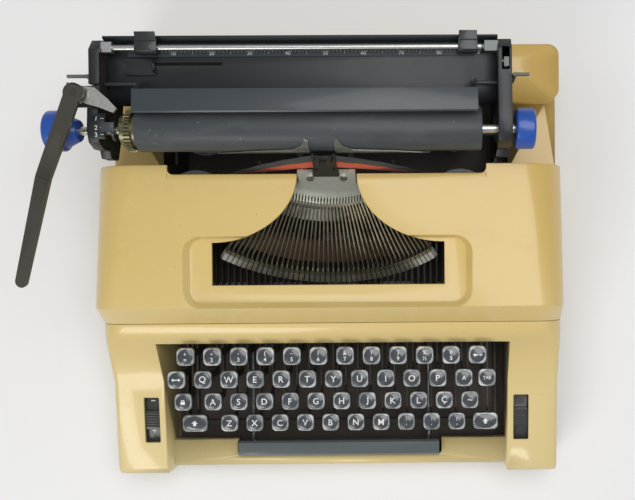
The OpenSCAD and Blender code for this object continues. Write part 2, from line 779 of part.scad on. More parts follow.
// The space bar with its two arms, which turn on stubs beside the levers.
space_pivot_y = 130;
space_pivot_z = 12.4;
space_arm_x = first_key_x + quarter * 7.5;
module space_bar() {
    y0 = space_y;
    arm = [[y0 + 2, space_h - 6], [y0 + 2, 21], [y0 + 8, 16.4], [112, 16.4],
        [space_pivot_y - 2, space_pivot_z - 2], [space_pivot_y + 2, space_pivot_z],
        [space_pivot_y - 2, space_pivot_z + 2.6], [114, 20.4], [y0 + 12, 20.4], [y0 + 9, 23],
        [y0 + 9, space_h - 6]];
    color("dimgray") placed() {
        along_x(-space_w / 2, space_w / 2) polygon([[y0, space_h - 7], [y0, space_h - 1.4],
            [y0 + 1.4, space_h - 0.2], [y0 + space_d - 1.4, space_h], [y0 + space_d, space_h - 1.4],
            [y0 + space_d, space_h - 7]]);
        for (x = [space_arm_x, space_arm_x + 7.25 * key_pitch]) difference() {
            union() {
                along_x(x - 0.8, x + 0.8) polygon(arm);
                rod_x(x - 0.8, x + 0.8, space_pivot_y, space_pivot_z, 2.8);
            }
            rod_x(x - 2, x + 2, space_pivot_y, space_pivot_z, 1.5 + fit);
        }
    }
}

// A slider that shows through the slot in an arm.
module arm_slider(x) {
    rise = atan((arm_crease_h - arm_front_h) / (crease_y - 4));
    z = arm_front_h + (slot_y - 4) * tan(rise) - 1.2;
    translate([x, slot_y, z]) rotate([rise, 0, 0]) {
        round_box([0.5 - slot_w / 2, -7, -6], [slot_w / 2 - 0.5, 7, 0], 1);
        translate([0, 0, -wall - 0.2]) round_box([-slot_w / 2 - 0.8, -slot_len / 2 - 6, -1.4],
            [slot_w / 2 + 0.8, slot_len / 2 + 6, -seat], 1);
        for (y = [-5 : 2 : 5]) box([1 - slot_w / 2, y - 0.5, -0.5], [slot_w / 2 - 1, y + 0.5, 0.6]);
    }
}

module touch_slider() { color("black") placed() arm_slider(-slot_x); }
module ribbon_selector() { color("black") placed() arm_slider(slot_x); }

// Outline of a carriage side plate in Y and Z, grown by g.
function side_outline(g) = [[platen_y - 10.5 - g, platen_z + 3],
    [platen_y - 7 - g, platen_z + 9 + g], [platen_y - 2, platen_z + 12 + g],
    [platen_y + 12, platen_z + 11 + g], [platen_y + 34, platen_z + 8 + g],
    [platen_y + 52, platen_z + 8 + g], [platen_y + 57 + g, platen_z + 4],
    [platen_y + 57 + g, 82 - g], [platen_y + 30, 82 - g], [platen_y - 4, 88 - g],
    [platen_y - 15.3 - g, platen_z - 22], [platen_y - 15.3 - g, platen_z - 9.5],
    [platen_y - 10.5 - g, platen_z - 7.2]];

// The channel that runs on the rail, the side plates, the rack and the lever's post.
module carriage_frame() {
    top = rail_z + rail_t + carriage_gap;
    y0 = rail_y0 - carriage_gap;
    y1 = rail_y0 + rail_w + carriage_gap;
    channel = [[y0 - 2.4, rail_z - 4], [y0 + 2.8, rail_z - 4], [y0 + 2.8, rail_z - carriage_gap],
        [y0, rail_z - carriage_gap], [y0, top], [y1, top], [y1, rail_z - carriage_gap],
        [y1 - 2.8, rail_z - carriage_gap], [y1 - 2.8, rail_z - 4], [y1 + 2.4, rail_z - 4],
        [y1 + 2.4, top + 2], [y0 - 2.4, top + 2]];
    x0 = plate_l + side_t;
    x1 = plate_rt - side_t;
    color("gray") placed() {
        along_x(x0 - 0.01, x1 + 0.01) polygon(channel);
        difference() {
            for (x = [plate_l, x1]) along_x(x, x + side_t) polygon(side_outline(0));
            rod_x(-200, 200, platen_y, platen_z, shaft_r + fit);
            rod_x(-200, 200, platen_y, roller_z, 2 + fit);
            rod_x(-200, 200, release_y, release_z, release_r + fit);
            for (x = [plate_l, x1]) box([x - cut, y0, rail_z - 4 - cut],
                [x + side_t + cut, y1, top]);
        }
        rack(y0 - 2.4);
        box([plate_l - 16, pivot_y - 7, 120], [plate_l + 0.01, pivot_y + 7, 122]);
        box([plate_l, pivot_y - 7, 112], [plate_l + side_t, pivot_y + 7, 122]);
        translate([pivot_x, pivot_y, 121]) cylinder(h = blade_z + blade_t - 121, r = pivot_r);
        rod_x(x1 + 1, 123.6, paper_free_y, paper_free_z, 1.6);
    }
}

// The letter-space rack under the carriage, in front of the channel.
module rack(y1) {
    teeth = floor(224 / letter_space);
    x0 = platen_x - teeth * letter_space / 2;
    pts = [for (i = [0 : teeth - 1]) each [[x0 + i * letter_space, rack_z + 1.2],
        [x0 + (i + 0.3) * letter_space, rack_z - 0.4], [x0 + (i + 0.6) * letter_space, rack_z - 0.4]]];
    translate([0, y1 + 0.01, 0]) rotate([90, 0, 0]) linear_extrude(4)
        polygon(concat(pts, [[x0 + teeth * letter_space, rack_z + 1.2],
            [x0 + teeth * letter_space, rack_z + 6], [x0, rack_z + 6]]));
}

// A moulded cover over a side plate, hollow towards the platen.
module end_cover_right() {
    x0 = 116.7;
    x1 = 126;
    color("dimgray") placed() difference() {
        along_x(x0, x1) polygon(side_outline(2.2));
        along_x(x0 - cut, x1 - 1.6) polygon(side_outline(0.5));
        rod_x(x0, x1 + cut, platen_y, platen_z, shaft_r + 2);
        rod_x(x0, x1 + cut, release_y, release_z, release_r + 1);
        box([119.6, platen_y + 38, platen_z], [124.4, platen_y + 53, platen_z + 20]);
        box([x0 - cut, rail_y0 - 4, 70], [x1 + cut, rail_y0 + rail_w + 4, rail_z + rail_t + 3]);
    }
}

module end_cover_left() {
    x0 = -152;
    x1 = plate_l + side_t + seat;
    color("dimgray") placed() {
        difference() {
            union() {
                along_x(x0, x1) polygon(side_outline(2.2));
                intersection() {
                    rod_x(x0 + 2, x1 + 5, platen_y, platen_z, 15.6);
                    box([x0, platen_y - 7.2, platen_z], [x1 + 9, platen_y + 9.8, platen_z + 20]);
                }
            }
            along_x(x0 + 1.6, x1 + cut) polygon(side_outline(0.5));
            rod_x(x1, x1 + 8, platen_y, platen_z, 13.4);
            rod_x(x0 - cut, x1 + 9, platen_y, platen_z, shaft_r + 2);
            rod_x(x0 - cut, x1 + cut, release_y, release_z, release_r + 1);
            box([x0 - cut, pivot_y - 8, 110], [x1 + cut, pivot_y + 8, 130]);
            box([x0 - cut, rail_y0 - 4, 70], [x1 + cut, rail_y0 + rail_w + 4, rail_z + rail_t + 3]);
        }
    }
}

module platen() {
    color("dimgray") placed() difference() {
        rod_x(platen_l, platen_rt, platen_y, platen_z, platen_r, $fn = 96);
        rod_x(platen_l - cut, platen_rt + cut, platen_y, platen_z, 11.5 + fit);
    }
}

module platen_core() {
    color("silver") placed() {
        rod_x(platen_l, platen_rt, platen_y, platen_z, 11.5);
        rod_x(-166, 134, platen_y, platen_z, shaft_r);
    }
}

// The toothed line-space wheel at the platen's left end.
module ratchet_wheel() {
    step = 360 / ratchet_teeth;
    teeth = [for (i = [0 : ratchet_teeth - 1]) each [
        ratchet_r * [cos(i * step), sin(i * step)],
        (ratchet_r - 1.5) * [cos((i + 0.25) * step), sin((i + 0.25) * step)],
        (ratchet_r - 1.5) * [cos((i + 0.75) * step), sin((i + 0.75) * step)]]];
    color("darkkhaki") placed() difference() {
        union() {
            translate([ratchet_x + 3.4, platen_y, platen_z]) rotate([0, 90, 0])
                linear_extrude(4) polygon(teeth);
            rod_x(ratchet_x, ratchet_x + 10.1, platen_y, platen_z, 11);
        }
        rod_x(-200, 0, platen_y, platen_z, shaft_r + fit);
    }
}

// A knob with a fluted rim.
module knob(x0, x1, socket) {
    difference() {
        translate([x0, platen_y, platen_z]) rotate([90, 0, 90]) rotate_extrude($fn = 96)
            polygon([[0, 0], [knob_r - 1.2, 0], [knob_r, 1.2], [knob_r, x1 - x0 - 1.2],
                [knob_r - 1.2, x1 - x0], [0, x1 - x0]]);
        rod_x(socket[0], socket[1], platen_y, platen_z, shaft_r + fit);
    }
}

module knob_right() {
    color("royalblue") placed() knob(128.6, 128.6 + knob_w, [127, 134 + seat]);
}

module knob_left() {
    color("royalblue") placed() {
        knob(-183, -171, [-166 - seat, -160]);
        difference() {
            translate([-171, platen_y, platen_z]) rotate([0, 90, 0])
                cylinder(h = 9, r1 = 11.5, r2 = 7);
            rod_x(-166 - seat, -160, platen_y, platen_z, shaft_r + fit);
        }
    }
}

module feed_rollers() {
    color("black") placed() {
        rod_x(plate_l, plate_rt, platen_y, roller_z, 2);
        for (x = [-75, 0, 75]) rod_x(platen_x + x - 15, platen_x + x + 15, platen_y, roller_z, roller_r);
    }
}

// The curved pan that leads the paper round under the platen.
module paper_deflector() {
    r0 = platen_r + 1.1;
    color("dimgray") placed() {
        difference() {
            rod_x(platen_l + 0.5, platen_rt - 0.5, platen_y, platen_z, r0 + 0.9);
            rod_x(platen_l, platen_rt, platen_y, platen_z, r0);
            box([-200, platen_y - 30, platen_z - 10], [200, platen_y, platen_z + 30]);
            box([-200, platen_y - cut, platen_z - 4], [200, platen_y + 30, platen_z + 30]);
            for (x = [-75, 0, 75]) box([platen_x + x - 17, platen_y - 7, platen_z - 30],
                [platen_x + x + 17, platen_y + 7, platen_z]);
        }
        for (x = [-105, 40]) along_x(platen_x + x, platen_x + x + 12)
            polygon([[platen_y + 8.2, rail_z + rail_t + 2.4], [platen_y + 40, rail_z + rail_t + 2.4],
                [platen_y + 40, rail_z + rail_t + 3.6], [platen_y + 9.4, rail_z + rail_t + 3.6],
                [platen_y + 9.4, platen_z - 12.4], [platen_y + 8.2, platen_z - 13.1]]);
    }
}

// The curved table behind the platen that the sheet leans on.
table_l = plate_l + side_t + seat;
table_r = plate_rt - side_t - seat;
guide_slope = atan(3 / 21);
guide_y = 295.2;
guide_z = 107.5 + (guide_y - 279) * tan(guide_slope) + seat;
module paper_table() {
    line = [[268.6, 101], [271, 104.5], [274.4, 106.6], [279, 107.5], [300, 110.5], [305, 111.6],
        [308.5, 114], [311, 118]];
    t = 1.5;
    under = [for (i = [len(line) - 1 : -1 : 0]) line[i] + [i > 5 ? t * 0.9 : 0.3, i > 5 ? -0.4 : -t]];
    color("dimgray") placed() difference() {
        along_x(table_l, table_r) polygon(concat(line, under));
        box([-132, guide_y - 0.9, 100], [-68, guide_y + 0.9, 120]);
    }
}

// A sliding stop for the paper's left edge.
module paper_side_guide() {
    color("black") placed() translate([-122, guide_y, guide_z]) rotate([guide_slope, 0, 0]) {
        linear_extrude(1.4) difference() {
            polygon([[-11, -7.4], [10, -7.4], [10, 3.8], [-11, 3.8]]);
            translate([-13.5, -1.8]) circle(r = 4.6);
        }
        along_x(8.4, 10) polygon([[-7.4, 0], [3.8, 0], [3.8, 2], [0, 4.6], [-4, 4.6]]);
        box([-8, -0.6, -3.4], [8, 0.6, 0.1]);
    }
}

// The bar over the platen, with its two arms and pins.
bail_y = 281;
bail_z = 114;
module paper_bail() {
    x0 = platen_l + 0.7;
    x1 = platen_rt - 3;
    color("gray") placed() {
        translate([0, 267, 130]) along_x(x0, x1)
            polygon([[-7.7, -0.8], [-7.7, 0.4], [-6.6, 1], [7.8, 0.4], [7.8, -0.8]]);
        for (x = [x0, x1 - 1.4]) {
            along_x(x, x + 1.4) polygon([[269, 130], [274.8, 130], [bail_y + 2.4, bail_z + 1],
                [bail_y + 1, bail_z - 2.4], [bail_y - 2, bail_z - 2]]);
            rod_x(x, x + 1.4, bail_y, bail_z, 2.6);
        }
        rod_x(table_l + seat, x0 + 0.1, bail_y, bail_z, 1.2);
        rod_x(x1 - 0.1, table_r - seat, bail_y, bail_z, 1.2);
    }
}

// The margin rod, its end blocks and the scale under it.
module margin_rod() {
    color("silver") placed() {
        rod_x(table_l, table_r, rod_y, rod_z, rod_r);
        box([table_l, rod_y - 3.4, rod_z - 3], [table_l + 7, rod_y + 3.4, rod_z + 3]);
        box([table_r - 9, rod_y - 3.4, rod_z - 3], [table_r, rod_y + 3.4, rod_z + 3]);
        along_x(-130, 102) polygon([[299.6, 110.9], [305, 112], [308, 114],
            [307.5, 114.6], [304.6, 112.8], [299.6, 111.7]]);
    }
}

// A margin stop that slides on the rod.
module margin_stop(x0, x1) {
    difference() {
        union() {
            along_x(x0, x1) polygon([[rod_y - 4.4, rod_z - 1.5], [rod_y - 4.4, rod_z + 2],
                [rod_y - 2.5, rod_z + 4], [rod_y + 3.5, rod_z + 4], [rod_y + 5.4, rod_z + 2.5],
                [rod_y + 5.4, rod_z + 1], [rod_y + 2.4, rod_z - 2.6], [rod_y - 2.4, rod_z - 2.6]]);
            along_x(x0 + 0.5, x1 - 0.5) polygon([[rod_y + 5, rod_z + 1.4], [rod_y + 9.6, rod_z + 4.6],
                [rod_y + 9.6, rod_z + 5.6], [rod_y + 4, rod_z + 3.4]]);
        }
        rod_x(x0 - cut, x1 + cut, rod_y, rod_z, rod_r + fit);
    }
}

module margin_stop_left() { color("black") placed() margin_stop(-123, -108.4); }
module margin_stop_right() { color("black") placed() margin_stop(90.6, 103.6); }

// The lever that sets one, two or three ratchet steps for each line.
module line_space_selector() {
    x = plate_l + side_t + seat + 5.8;
    color("gray") placed() difference() {
        union() {
            rod_x(x, x + 1.4, platen_y, platen_z, 7);
            box([x, platen_y - 2.6, platen_z], [x + 1.4, platen_y + 2.6, platen_z + 16.6]);
            box([x - 2, platen_y - 3, platen_z + 16.2], [ratchet_x - 0.6, platen_y + 3, platen_z + 17.6]);
        }
        rod_x(x - cut, x + 3, platen_y, platen_z, shaft_r + seat + 0.1);
    }
}

// The arm that drives the ratchet, under the return lever.
module line_space_pawl() {
    z0 = 128.6;
    z1 = 131;
    color("gray") placed() translate([pivot_x, pivot_y, 0]) difference() {
        union() {
            translate([0, 0, z0]) cylinder(h = z1 - z0, r = 6);
            translate([0, 0, z0]) linear_extrude(z1 - z0)
                polygon([[2, 5.6], [12, 4], [20, -3], [26, -9.5], [23.5, -12.2], [14, -8.5], [4, -5.6]]);
        }
        translate([0, 0, 100]) cylinder(h = 50, r = pivot_r + fit);
    }
}

// The carriage return lever: a cranked blade that reaches out over the left knob.
module return_lever() {
    flat = lever_flat;
    drop = lever_drop;
    heading = lever_heading;
    color("dimgray") placed() translate([pivot_x, pivot_y, 0]) difference() {
        union() {
            translate([0, 0, blade_z]) cylinder(h = blade_t, r = 6.4);
            rotate([0, 0, heading]) {
                translate([0, 0, blade_z]) linear_extrude(blade_t)
                    polygon([[-5, -5.5], [flat, -5], [flat, 5], [-5, 5.5]]);
                translate([flat - 0.4, 0, blade_z]) rotate([0, drop, 0]) linear_extrude(blade_t) {
                    polygon([[0, -5], [lever_len - flat - 4, -4], [lever_len - flat - 4, 4], [0, 5]]);
                    translate([lever_len - flat - 4, 0]) circle(r = 4);
                }
            }
        }
        translate([0, 0, 100]) cylinder(h = 50, r = pivot_r + fit);
    }
}

// The lever in the right end cover that frees the paper.
module paper_release() {
    y = paper_free_y;
    z = paper_free_z;
    color("silver") placed() difference() {
        union() {
            rod_x(120.8, 122.8, y, z, 4);
            along_x(120.8, 122.8)
                polygon([[y - 3, z], [y - 3, platen_z + 13], [y + 3, platen_z + 13], [y + 3, z]]);
            box([120.4, y - 3, platen_z + 12.6], [123.6, y + 3, platen_z + 14]);
        }
        rod_x(119, 125, y, z, 1.6 + fit);
    }
}

// The cross shaft with a crank at each end that frees the carriage.
module carriage_release() {
    color("silver") placed() {
        rod_x(-154.6, 128.6, release_y, release_z, release_r);
        for (x = [-155.6, 127.4]) along_x(x, x + 2) polygon([[release_y - 2, release_z - 2],
            [release_y + 2, release_z - 2], [release_y + 1.2, release_z + 19], [release_y - 1.2,
            release_z + 19]]);
        rod_x(-168, -154, release_y, release_z + 18, 1.2);
        rod_x(128, 138, release_y, release_z + 18, 1.2);
    }
}

module mainspring_drum() {
    color("silver") placed() translate([drum_x, drum_y, drum_z]) difference() {
        union() {
            cylinder(h = 12, r = 19);
            cylinder(h = 1, r = 21);
            translate([0, 0, 11]) cylinder(h = 1, r = 21);
        }
        translate([0, 0, -cut]) cylinder(h = 20, r = 3 + fit);
    }
}

// The star wheel on its shaft, and the pinion that the rack turns.
module escapement_wheel() {
    star = [for (i = [0 : 23]) each [12 * [cos(i * 15), sin(i * 15)],
        9.4 * [cos(i * 15 + 9), sin(i * 15 + 9)]]];
    leaf = [for (i = [0 : 11]) each [(pinion_r + 0.7) * [cos(i * 30 - 4), sin(i * 30 - 4)],
        (pinion_r + 0.7) * [cos(i * 30 + 4), sin(i * 30 + 4)],
        (pinion_r - 1) * [cos(i * 30 + 11), sin(i * 30 + 11)],
        (pinion_r - 1) * [cos(i * 30 + 19), sin(i * 30 + 19)]]];
    color("silver") placed() translate([0, rail_y0 + 0.5, escape_z]) rotate([90, 0, 0]) {
        cylinder(h = rail_y0 - escape_y + 2, r = 1.5);
        translate([0, 0, 4]) linear_extrude(3.4) rotate([0, 0, 15]) polygon(leaf);
        translate([0, 0, 12]) linear_extrude(1.6) polygon(star);
    }
}

module bell() {
    color("silver") placed() translate([92, 262, floor_z]) {
        cylinder(h = 28.6, r = 3);
        translate([0, 0, 18]) difference() {
            cylinder(h = 12, r1 = 17, r2 = 9);
            translate([0, 0, -0.01]) cylinder(h = 10.4, r1 = 15.6, r2 = 8);
        }
        translate([0, 0, 28]) cylinder(h = 3.4, r = 2.4);
    }
}

// The two screws that hold the segment.
module cover_screws() {
    color("silver") placed() basket() for (x = [-11.5, 11.5]) translate([x, -31, -3]) {
        difference() {
            cylinder(h = 1.2, r = 2.6);
            box([-3, -0.35, 0.6], [3, 0.35, 2]);
        }
        translate([0, 0, -3.4]) cylinder(h = 3.5, r = 1.45);
    }
}

base_shell();
ribbon_cover();
bottom_plate();
rubber_feet();
chassis();
carriage_rail();
segment();
pivot_wire();
typebars();
type_rest();
type_guide();
card_holder();
ribbon_vibrator();
ribbon();
spool_left();
spool_right();
key_fulcrum();
touch_slider();
ribbon_selector();
carriage_frame();
end_cover_left();
end_cover_right();
platen();
platen_core();
ratchet_wheel();
knob_left();
knob_right();
feed_rollers();
paper_deflector();
paper_table();
paper_side_guide();
paper_bail();
margin_rod();
margin_stop_left();
margin_stop_right();
line_space_selector();
line_space_pawl();
return_lever();
paper_release();
carriage_release();
space_bar();
shift_key_left();
shift_key_right();
shift_lock_key();
backspace_key();
tab_key();
margin_release_key();
key_row_1();
key_row_2();
key_row_3();
key_row_4();
key_g();
key_h();
typebar_g();
typebar_h();
mainspring_drum();
escapement_wheel();
bell();
cover_screws();
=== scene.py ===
import json
import math

import bmesh
import bpy
from mathutils import Matrix, Vector
from mathutils.bvhtree import BVHTree

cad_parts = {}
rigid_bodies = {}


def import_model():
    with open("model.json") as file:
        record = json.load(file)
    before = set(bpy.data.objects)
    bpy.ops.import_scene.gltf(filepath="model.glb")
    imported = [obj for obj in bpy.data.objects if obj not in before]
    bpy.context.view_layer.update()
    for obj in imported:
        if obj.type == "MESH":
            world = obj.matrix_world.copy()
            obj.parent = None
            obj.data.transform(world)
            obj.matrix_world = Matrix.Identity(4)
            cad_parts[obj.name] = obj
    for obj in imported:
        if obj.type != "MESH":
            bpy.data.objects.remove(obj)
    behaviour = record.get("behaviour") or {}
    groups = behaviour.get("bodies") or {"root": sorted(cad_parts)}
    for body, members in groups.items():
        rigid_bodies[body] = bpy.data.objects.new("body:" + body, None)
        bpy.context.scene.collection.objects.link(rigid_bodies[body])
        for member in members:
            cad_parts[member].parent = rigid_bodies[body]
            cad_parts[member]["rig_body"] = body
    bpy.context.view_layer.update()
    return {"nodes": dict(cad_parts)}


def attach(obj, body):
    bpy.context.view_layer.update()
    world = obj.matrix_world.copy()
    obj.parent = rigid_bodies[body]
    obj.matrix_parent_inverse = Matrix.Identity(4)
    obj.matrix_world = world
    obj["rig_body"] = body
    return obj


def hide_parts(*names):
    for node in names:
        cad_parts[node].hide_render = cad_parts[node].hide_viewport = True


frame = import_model()
nodes = frame["nodes"]
print("stage: the frame has", len(nodes), "nodes")

# Sizes are in millimetres in the part's own frame: x from the typing line, y from the arms' front
# face and z from the table. Materials and lamps are in metres in the shared frame.
place = {"middleX": -19.142, "halfDepth": 160.0}


def at(x, y, z):
    return Vector((x - place["middleX"], y - place["halfDepth"], z)) * 0.001


# ---- what a material is made with ----

class Value:
    # a shader socket that can stand in a sum
    def __init__(self, tree, socket):
        self.tree, self.socket = tree, socket

    def worked(self, operation, first, second):
        node = self.tree.nodes.new("ShaderNodeMath")
        node.operation = operation
        for slot, item in zip(node.inputs, (first, second)):
            if isinstance(item, Value):
                self.tree.links.new(item.socket, slot)
            elif item is not None:
                slot.default_value = item
        return Value(self.tree, node.outputs[0])

    def __add__(self, other):
        return self.worked("ADD", self, other)

    def __radd__(self, other):
        return self.worked("ADD", other, self)

    def __sub__(self, other):
        return self.worked("SUBTRACT", self, other)

    def __rsub__(self, other):
        return self.worked("SUBTRACT", other, self)

    def __mul__(self, other):
        return self.worked("MULTIPLY", self, other)

    def __gt__(self, other):
        return self.worked("GREATER_THAN", self, other)


class Finish:
    # one material: a Principled shader and the nodes that feed it
    def __init__(self, name, **constants):
        self.material = bpy.data.materials.new(name)
        self.material.use_nodes = True
        self.tree = self.material.node_tree
        self.shader = self.tree.nodes["Principled BSDF"]
        for key, value in constants.items():
            self.shader.inputs[self.words(key)].default_value = value
        self.place = self.node("ShaderNodeTexCoord", out="Object")

    def words(self, key):
        fixed = {"ior": "IOR"}
        spaced = "".join(" " + c if c.isupper() else c for c in key)
        return fixed.get(key, spaced[0].upper() + spaced[1:])

    def node(self, kind, settings=None, sockets=None, out=0):
        made = self.tree.nodes.new(kind)
        for key, value in (settings or {}).items():
            setattr(made, key, value)
        for key, value in (sockets or {}).items():
            if isinstance(value, Value):
                self.tree.links.new(value.socket, made.inputs[key])
            else:
                made.inputs[key].default_value = value
        return Value(self.tree, made.outputs[out])

    def stretched(self, scale):
        # places scaled along each axis: a pattern runs along the axis with the smallest scale
        return self.node("ShaderNodeMapping", {"vector_type": "POINT"},
                         {"Vector": self.place, "Scale": scale})

    def noise(self, scale, detail=3.0, rough=0.55, where=None):
        return self.node("ShaderNodeTexNoise", {"noise_dimensions": "3D"}, {
            "Vector": where or self.place, "Scale": scale, "Detail": detail, "Roughness": rough})

    def step(self, value, low, high):
        # 0 below low, 1 above high, smooth in between
        return self.node("ShaderNodeMapRange", {"interpolation_type": "SMOOTHSTEP"}, {
            "Value": value, "From Min": low, "From Max": high, "To Min": 0.0, "To Max": 1.0})

    def mix(self, share, first, second):
        made = self.tree.nodes.new("ShaderNodeMix")
        made.data_type = "RGBA"
        sockets = [made.inputs[0], made.inputs[6], made.inputs[7]]
        for slot, item in zip(sockets, (share, first, second)):
            if isinstance(item, Value):
                self.tree.links.new(item.socket, slot)
            elif isinstance(item, (tuple, list)):
                slot.default_value = (*item[:3], 1)
            else:
                slot.default_value = item
        return Value(self.tree, made.outputs[2])

    def axis(self, name, where=None):
        return self.node("ShaderNodeSeparateXYZ", None, {"Vector": where or self.place}, name)

    def feed(self, socket, value):
        self.tree.links.new(value.socket, self.shader.inputs[socket])

    def bump(self, height, distance, strength=1.0, under=None):
        sockets = {"Height": height, "Distance": distance, "Strength": strength}
        if under is not None:
            sockets["Normal"] = under
        return self.node("ShaderNodeBump", None, sockets)

    def roundedNormal(self, radius):
        # the normals of a pressing whose edges are rolled over
        return self.node("ShaderNodeBevel", {"samples": 5}, {"Radius": radius})


# How deep the finishes' small relief stands, in metres.
relief = {"peel": 0.00003, "moulded": 0.00002, "drawn": 0.00001, "rubber": 0.00006,
          "turned": 0.00004, "forged": 0.00003, "rim": 0.00004, "weave": 0.00005, "hide": 0.0001}


def tone(colour, factor):
    return tuple(min(1.0, c * factor) for c in colour)


def srgb(red, green, blue):
    # a colour as a screen shows it, 0 to 255 a channel, turned into linear light
    def linear(c):
        c = c / 255
        return c / 12.92 if c <= 0.04045 else ((c + 0.055) / 1.055) ** 2.4
    return (linear(red), linear(green), linear(blue))


def enamel(name, colour, rough, dirt, dirtShare, coat):
    # sprayed and stoved paint: soft cloudiness, a fine peel and a little settled dust
    made = Finish(name, metallic=0.0, coatWeight=coat, coatRoughness=0.12, ior=1.5)
    cloud = made.noise(14, 4, 0.6)
    shade = made.mix(made.step(cloud, 0.35, 0.7), tone(colour, 0.94), tone(colour, 1.05))
    smudge = made.step(made.noise(55, 6, 0.7), 0.6, 0.78) * dirtShare
    made.feed("Base Color", made.mix(smudge, shade, dirt))
    made.feed("Roughness", rough + made.noise(90, 3) * 0.12)
    made.feed("Normal", made.bump(made.noise(900, 2), relief["peel"]))
    return made.material


def plastic(name, colour, rough, coat, dust):
    # moulded plastic with faint clouds, and specks of dust by share
    made = Finish(name, metallic=0.0, coatWeight=coat, coatRoughness=0.08, ior=1.47)
    cloud = made.noise(40, 4)
    shade = made.mix(cloud, tone(colour, 0.85), tone(colour, 1.15))
    specks = made.step(made.noise(700, 4, 0.7), 0.62, 0.72) * dust
    made.feed("Base Color", made.mix(specks, shade, srgb(120, 118, 108)))
    made.feed("Roughness", rough + made.noise(160, 4) * 0.15)
    made.feed("Normal", made.bump(made.noise(1500, 2), relief["moulded"]))
    return made.material


def metal(name, colour, rough, stain, stretch=(1, 1, 1), stainColour=(0.10, 0.08, 0.05),
          metallic=0.9):
    # machined or drawn metal: a grain that runs one way, and brown staining
    made = Finish(name, metallic=metallic, ior=1.5)
    streak = made.noise(600, 3, 0.6, made.stretched(stretch))
    patch = made.step(made.noise(60, 5, 0.7), 0.52, 0.75) * stain
    shade = made.mix(streak, tone(colour, 0.8), tone(colour, 1.15))
    made.feed("Base Color", made.mix(patch, shade, stainColour))
    made.feed("Roughness", rough + streak * 0.12 + patch * 0.4)
    made.feed("Normal", made.bump(streak, relief["drawn"]))
    return made.material


def shellEnamel():
    # cream enamel: a painted sheen pales it towards the front and a painted warm reflection lies
    # over the rear right; its edges rolled over
    look = {"colour": srgb(214, 186, 114), "pale": srgb(222, 203, 146), "warm": srgb(204, 164, 76),
            "speck": srgb(110, 84, 44), "paleFrom": 0.0, "paleTo": 0.16, "agedAcross": (0.02, 0.2),
            "agedDepth": (-0.1, 0.15), "edgeRadius": 0.0013}
    made = Finish("shellEnamel", metallic=0.0, coatWeight=0.45, coatRoughness=0.1, ior=1.5)
    across = made.axis("X")
    depth = made.axis("Y")
    cloud = made.noise(7, 3, 0.6)
    # painted sheen: the shell is paler towards the front, where its slopes catch the light
    paintedSheen = made.step(depth * -1.0 + cloud * 0.05, look["paleFrom"], look["paleTo"])
    shade = made.mix(paintedSheen * 0.75, look["colour"], look["pale"])
    # painted reflection: a warm, browner tone over the rear right of the shell
    paintedReflection = (made.step(across + cloud * 0.06, *look["agedAcross"])
            * made.step(depth, *look["agedDepth"]))
    shade = made.mix(paintedReflection * 0.65, shade, look["warm"])
    blotch = made.step(made.noise(30, 5, 0.7), 0.55, 0.8) * 0.22
    shade = made.mix(blotch, shade, tone(look["warm"], 0.8))
    specks = made.step(made.noise(420, 3, 0.7), 0.69, 0.74) * 0.5
    made.feed("Base Color", made.mix(specks, shade, look["speck"]))
    made.feed("Roughness", 0.3 + made.noise(70, 4) * 0.14 + blotch * 0.3)
    rolled = made.roundedNormal(look["edgeRadius"])
    made.feed("Normal", made.bump(made.noise(650, 2), relief["moulded"], 0.6, rolled))
    return made.material


def platenRubber():
    # hard rubber, chalky along its length and nicked by types
    made = Finish("platenRubber", metallic=0.0, ior=1.5, coatWeight=0.05)
    along = made.noise(160, 5, 0.65, made.stretched((0.05, 1, 1)))
    chalk = made.noise(40, 5, 0.7, made.stretched((0.35, 1, 1)))
    chalk = made.step(chalk, 0.48, 0.75)
    shade = made.mix(along, srgb(46, 52, 55), srgb(68, 74, 78))
    shade = made.mix(chalk * 0.3, shade, srgb(104, 110, 110))
    nick = made.step(made.noise(380, 2, 0.5), 0.72, 0.76) * 0.5
    made.feed("Base Color", made.mix(nick, shade, srgb(150, 152, 148)))
    made.feed("Roughness", 0.5 + chalk * 0.2)
    made.feed("Normal", made.bump(along, relief["rubber"], 0.5))
    return made.material


# The slope of the typebars' basket: its origin is the point where the types strike.
basket = {"tilt": 58.0, "y": 233.536, "z": 123.413}
basketMatrix = Matrix.Translation(at(0, basket["y"], basket["z"])) @ Matrix.Rotation(
    math.radians(basket["tilt"]), 4, "X")


def fromStrike(made):
    # the way from the strike point to where the light falls, and its length
    away = made.node("ShaderNodeVectorMath", {"operation": "SUBTRACT"},
                     {0: made.place, 1: tuple(basketMatrix.translation)})
    return away, made.node("ShaderNodeVectorMath", {"operation": "LENGTH"}, {0: away}, "Value")


def segmentSteel():
    # turned about the strike point, so its marks are arcs
    made = Finish("segmentSteel", metallic=0.55, ior=1.5)
    radius = fromStrike(made)[1]
    ring = made.node("ShaderNodeTexNoise", {"noise_dimensions": "1D"},
                     {"W": radius, "Scale": 900.0, "Detail": 4.0})
    patch = made.step(made.noise(90, 6, 0.7), 0.5, 0.72)
    shade = made.mix(ring, srgb(186, 190, 178), srgb(226, 228, 218))
    shade = made.mix(patch * 0.4, shade, srgb(120, 124, 112))
    made.feed("Base Color", shade)
    made.feed("Roughness", 0.34 + patch * 0.25)
    made.feed("Normal", made.bump(ring, relief["turned"], 0.6))
    return made.material


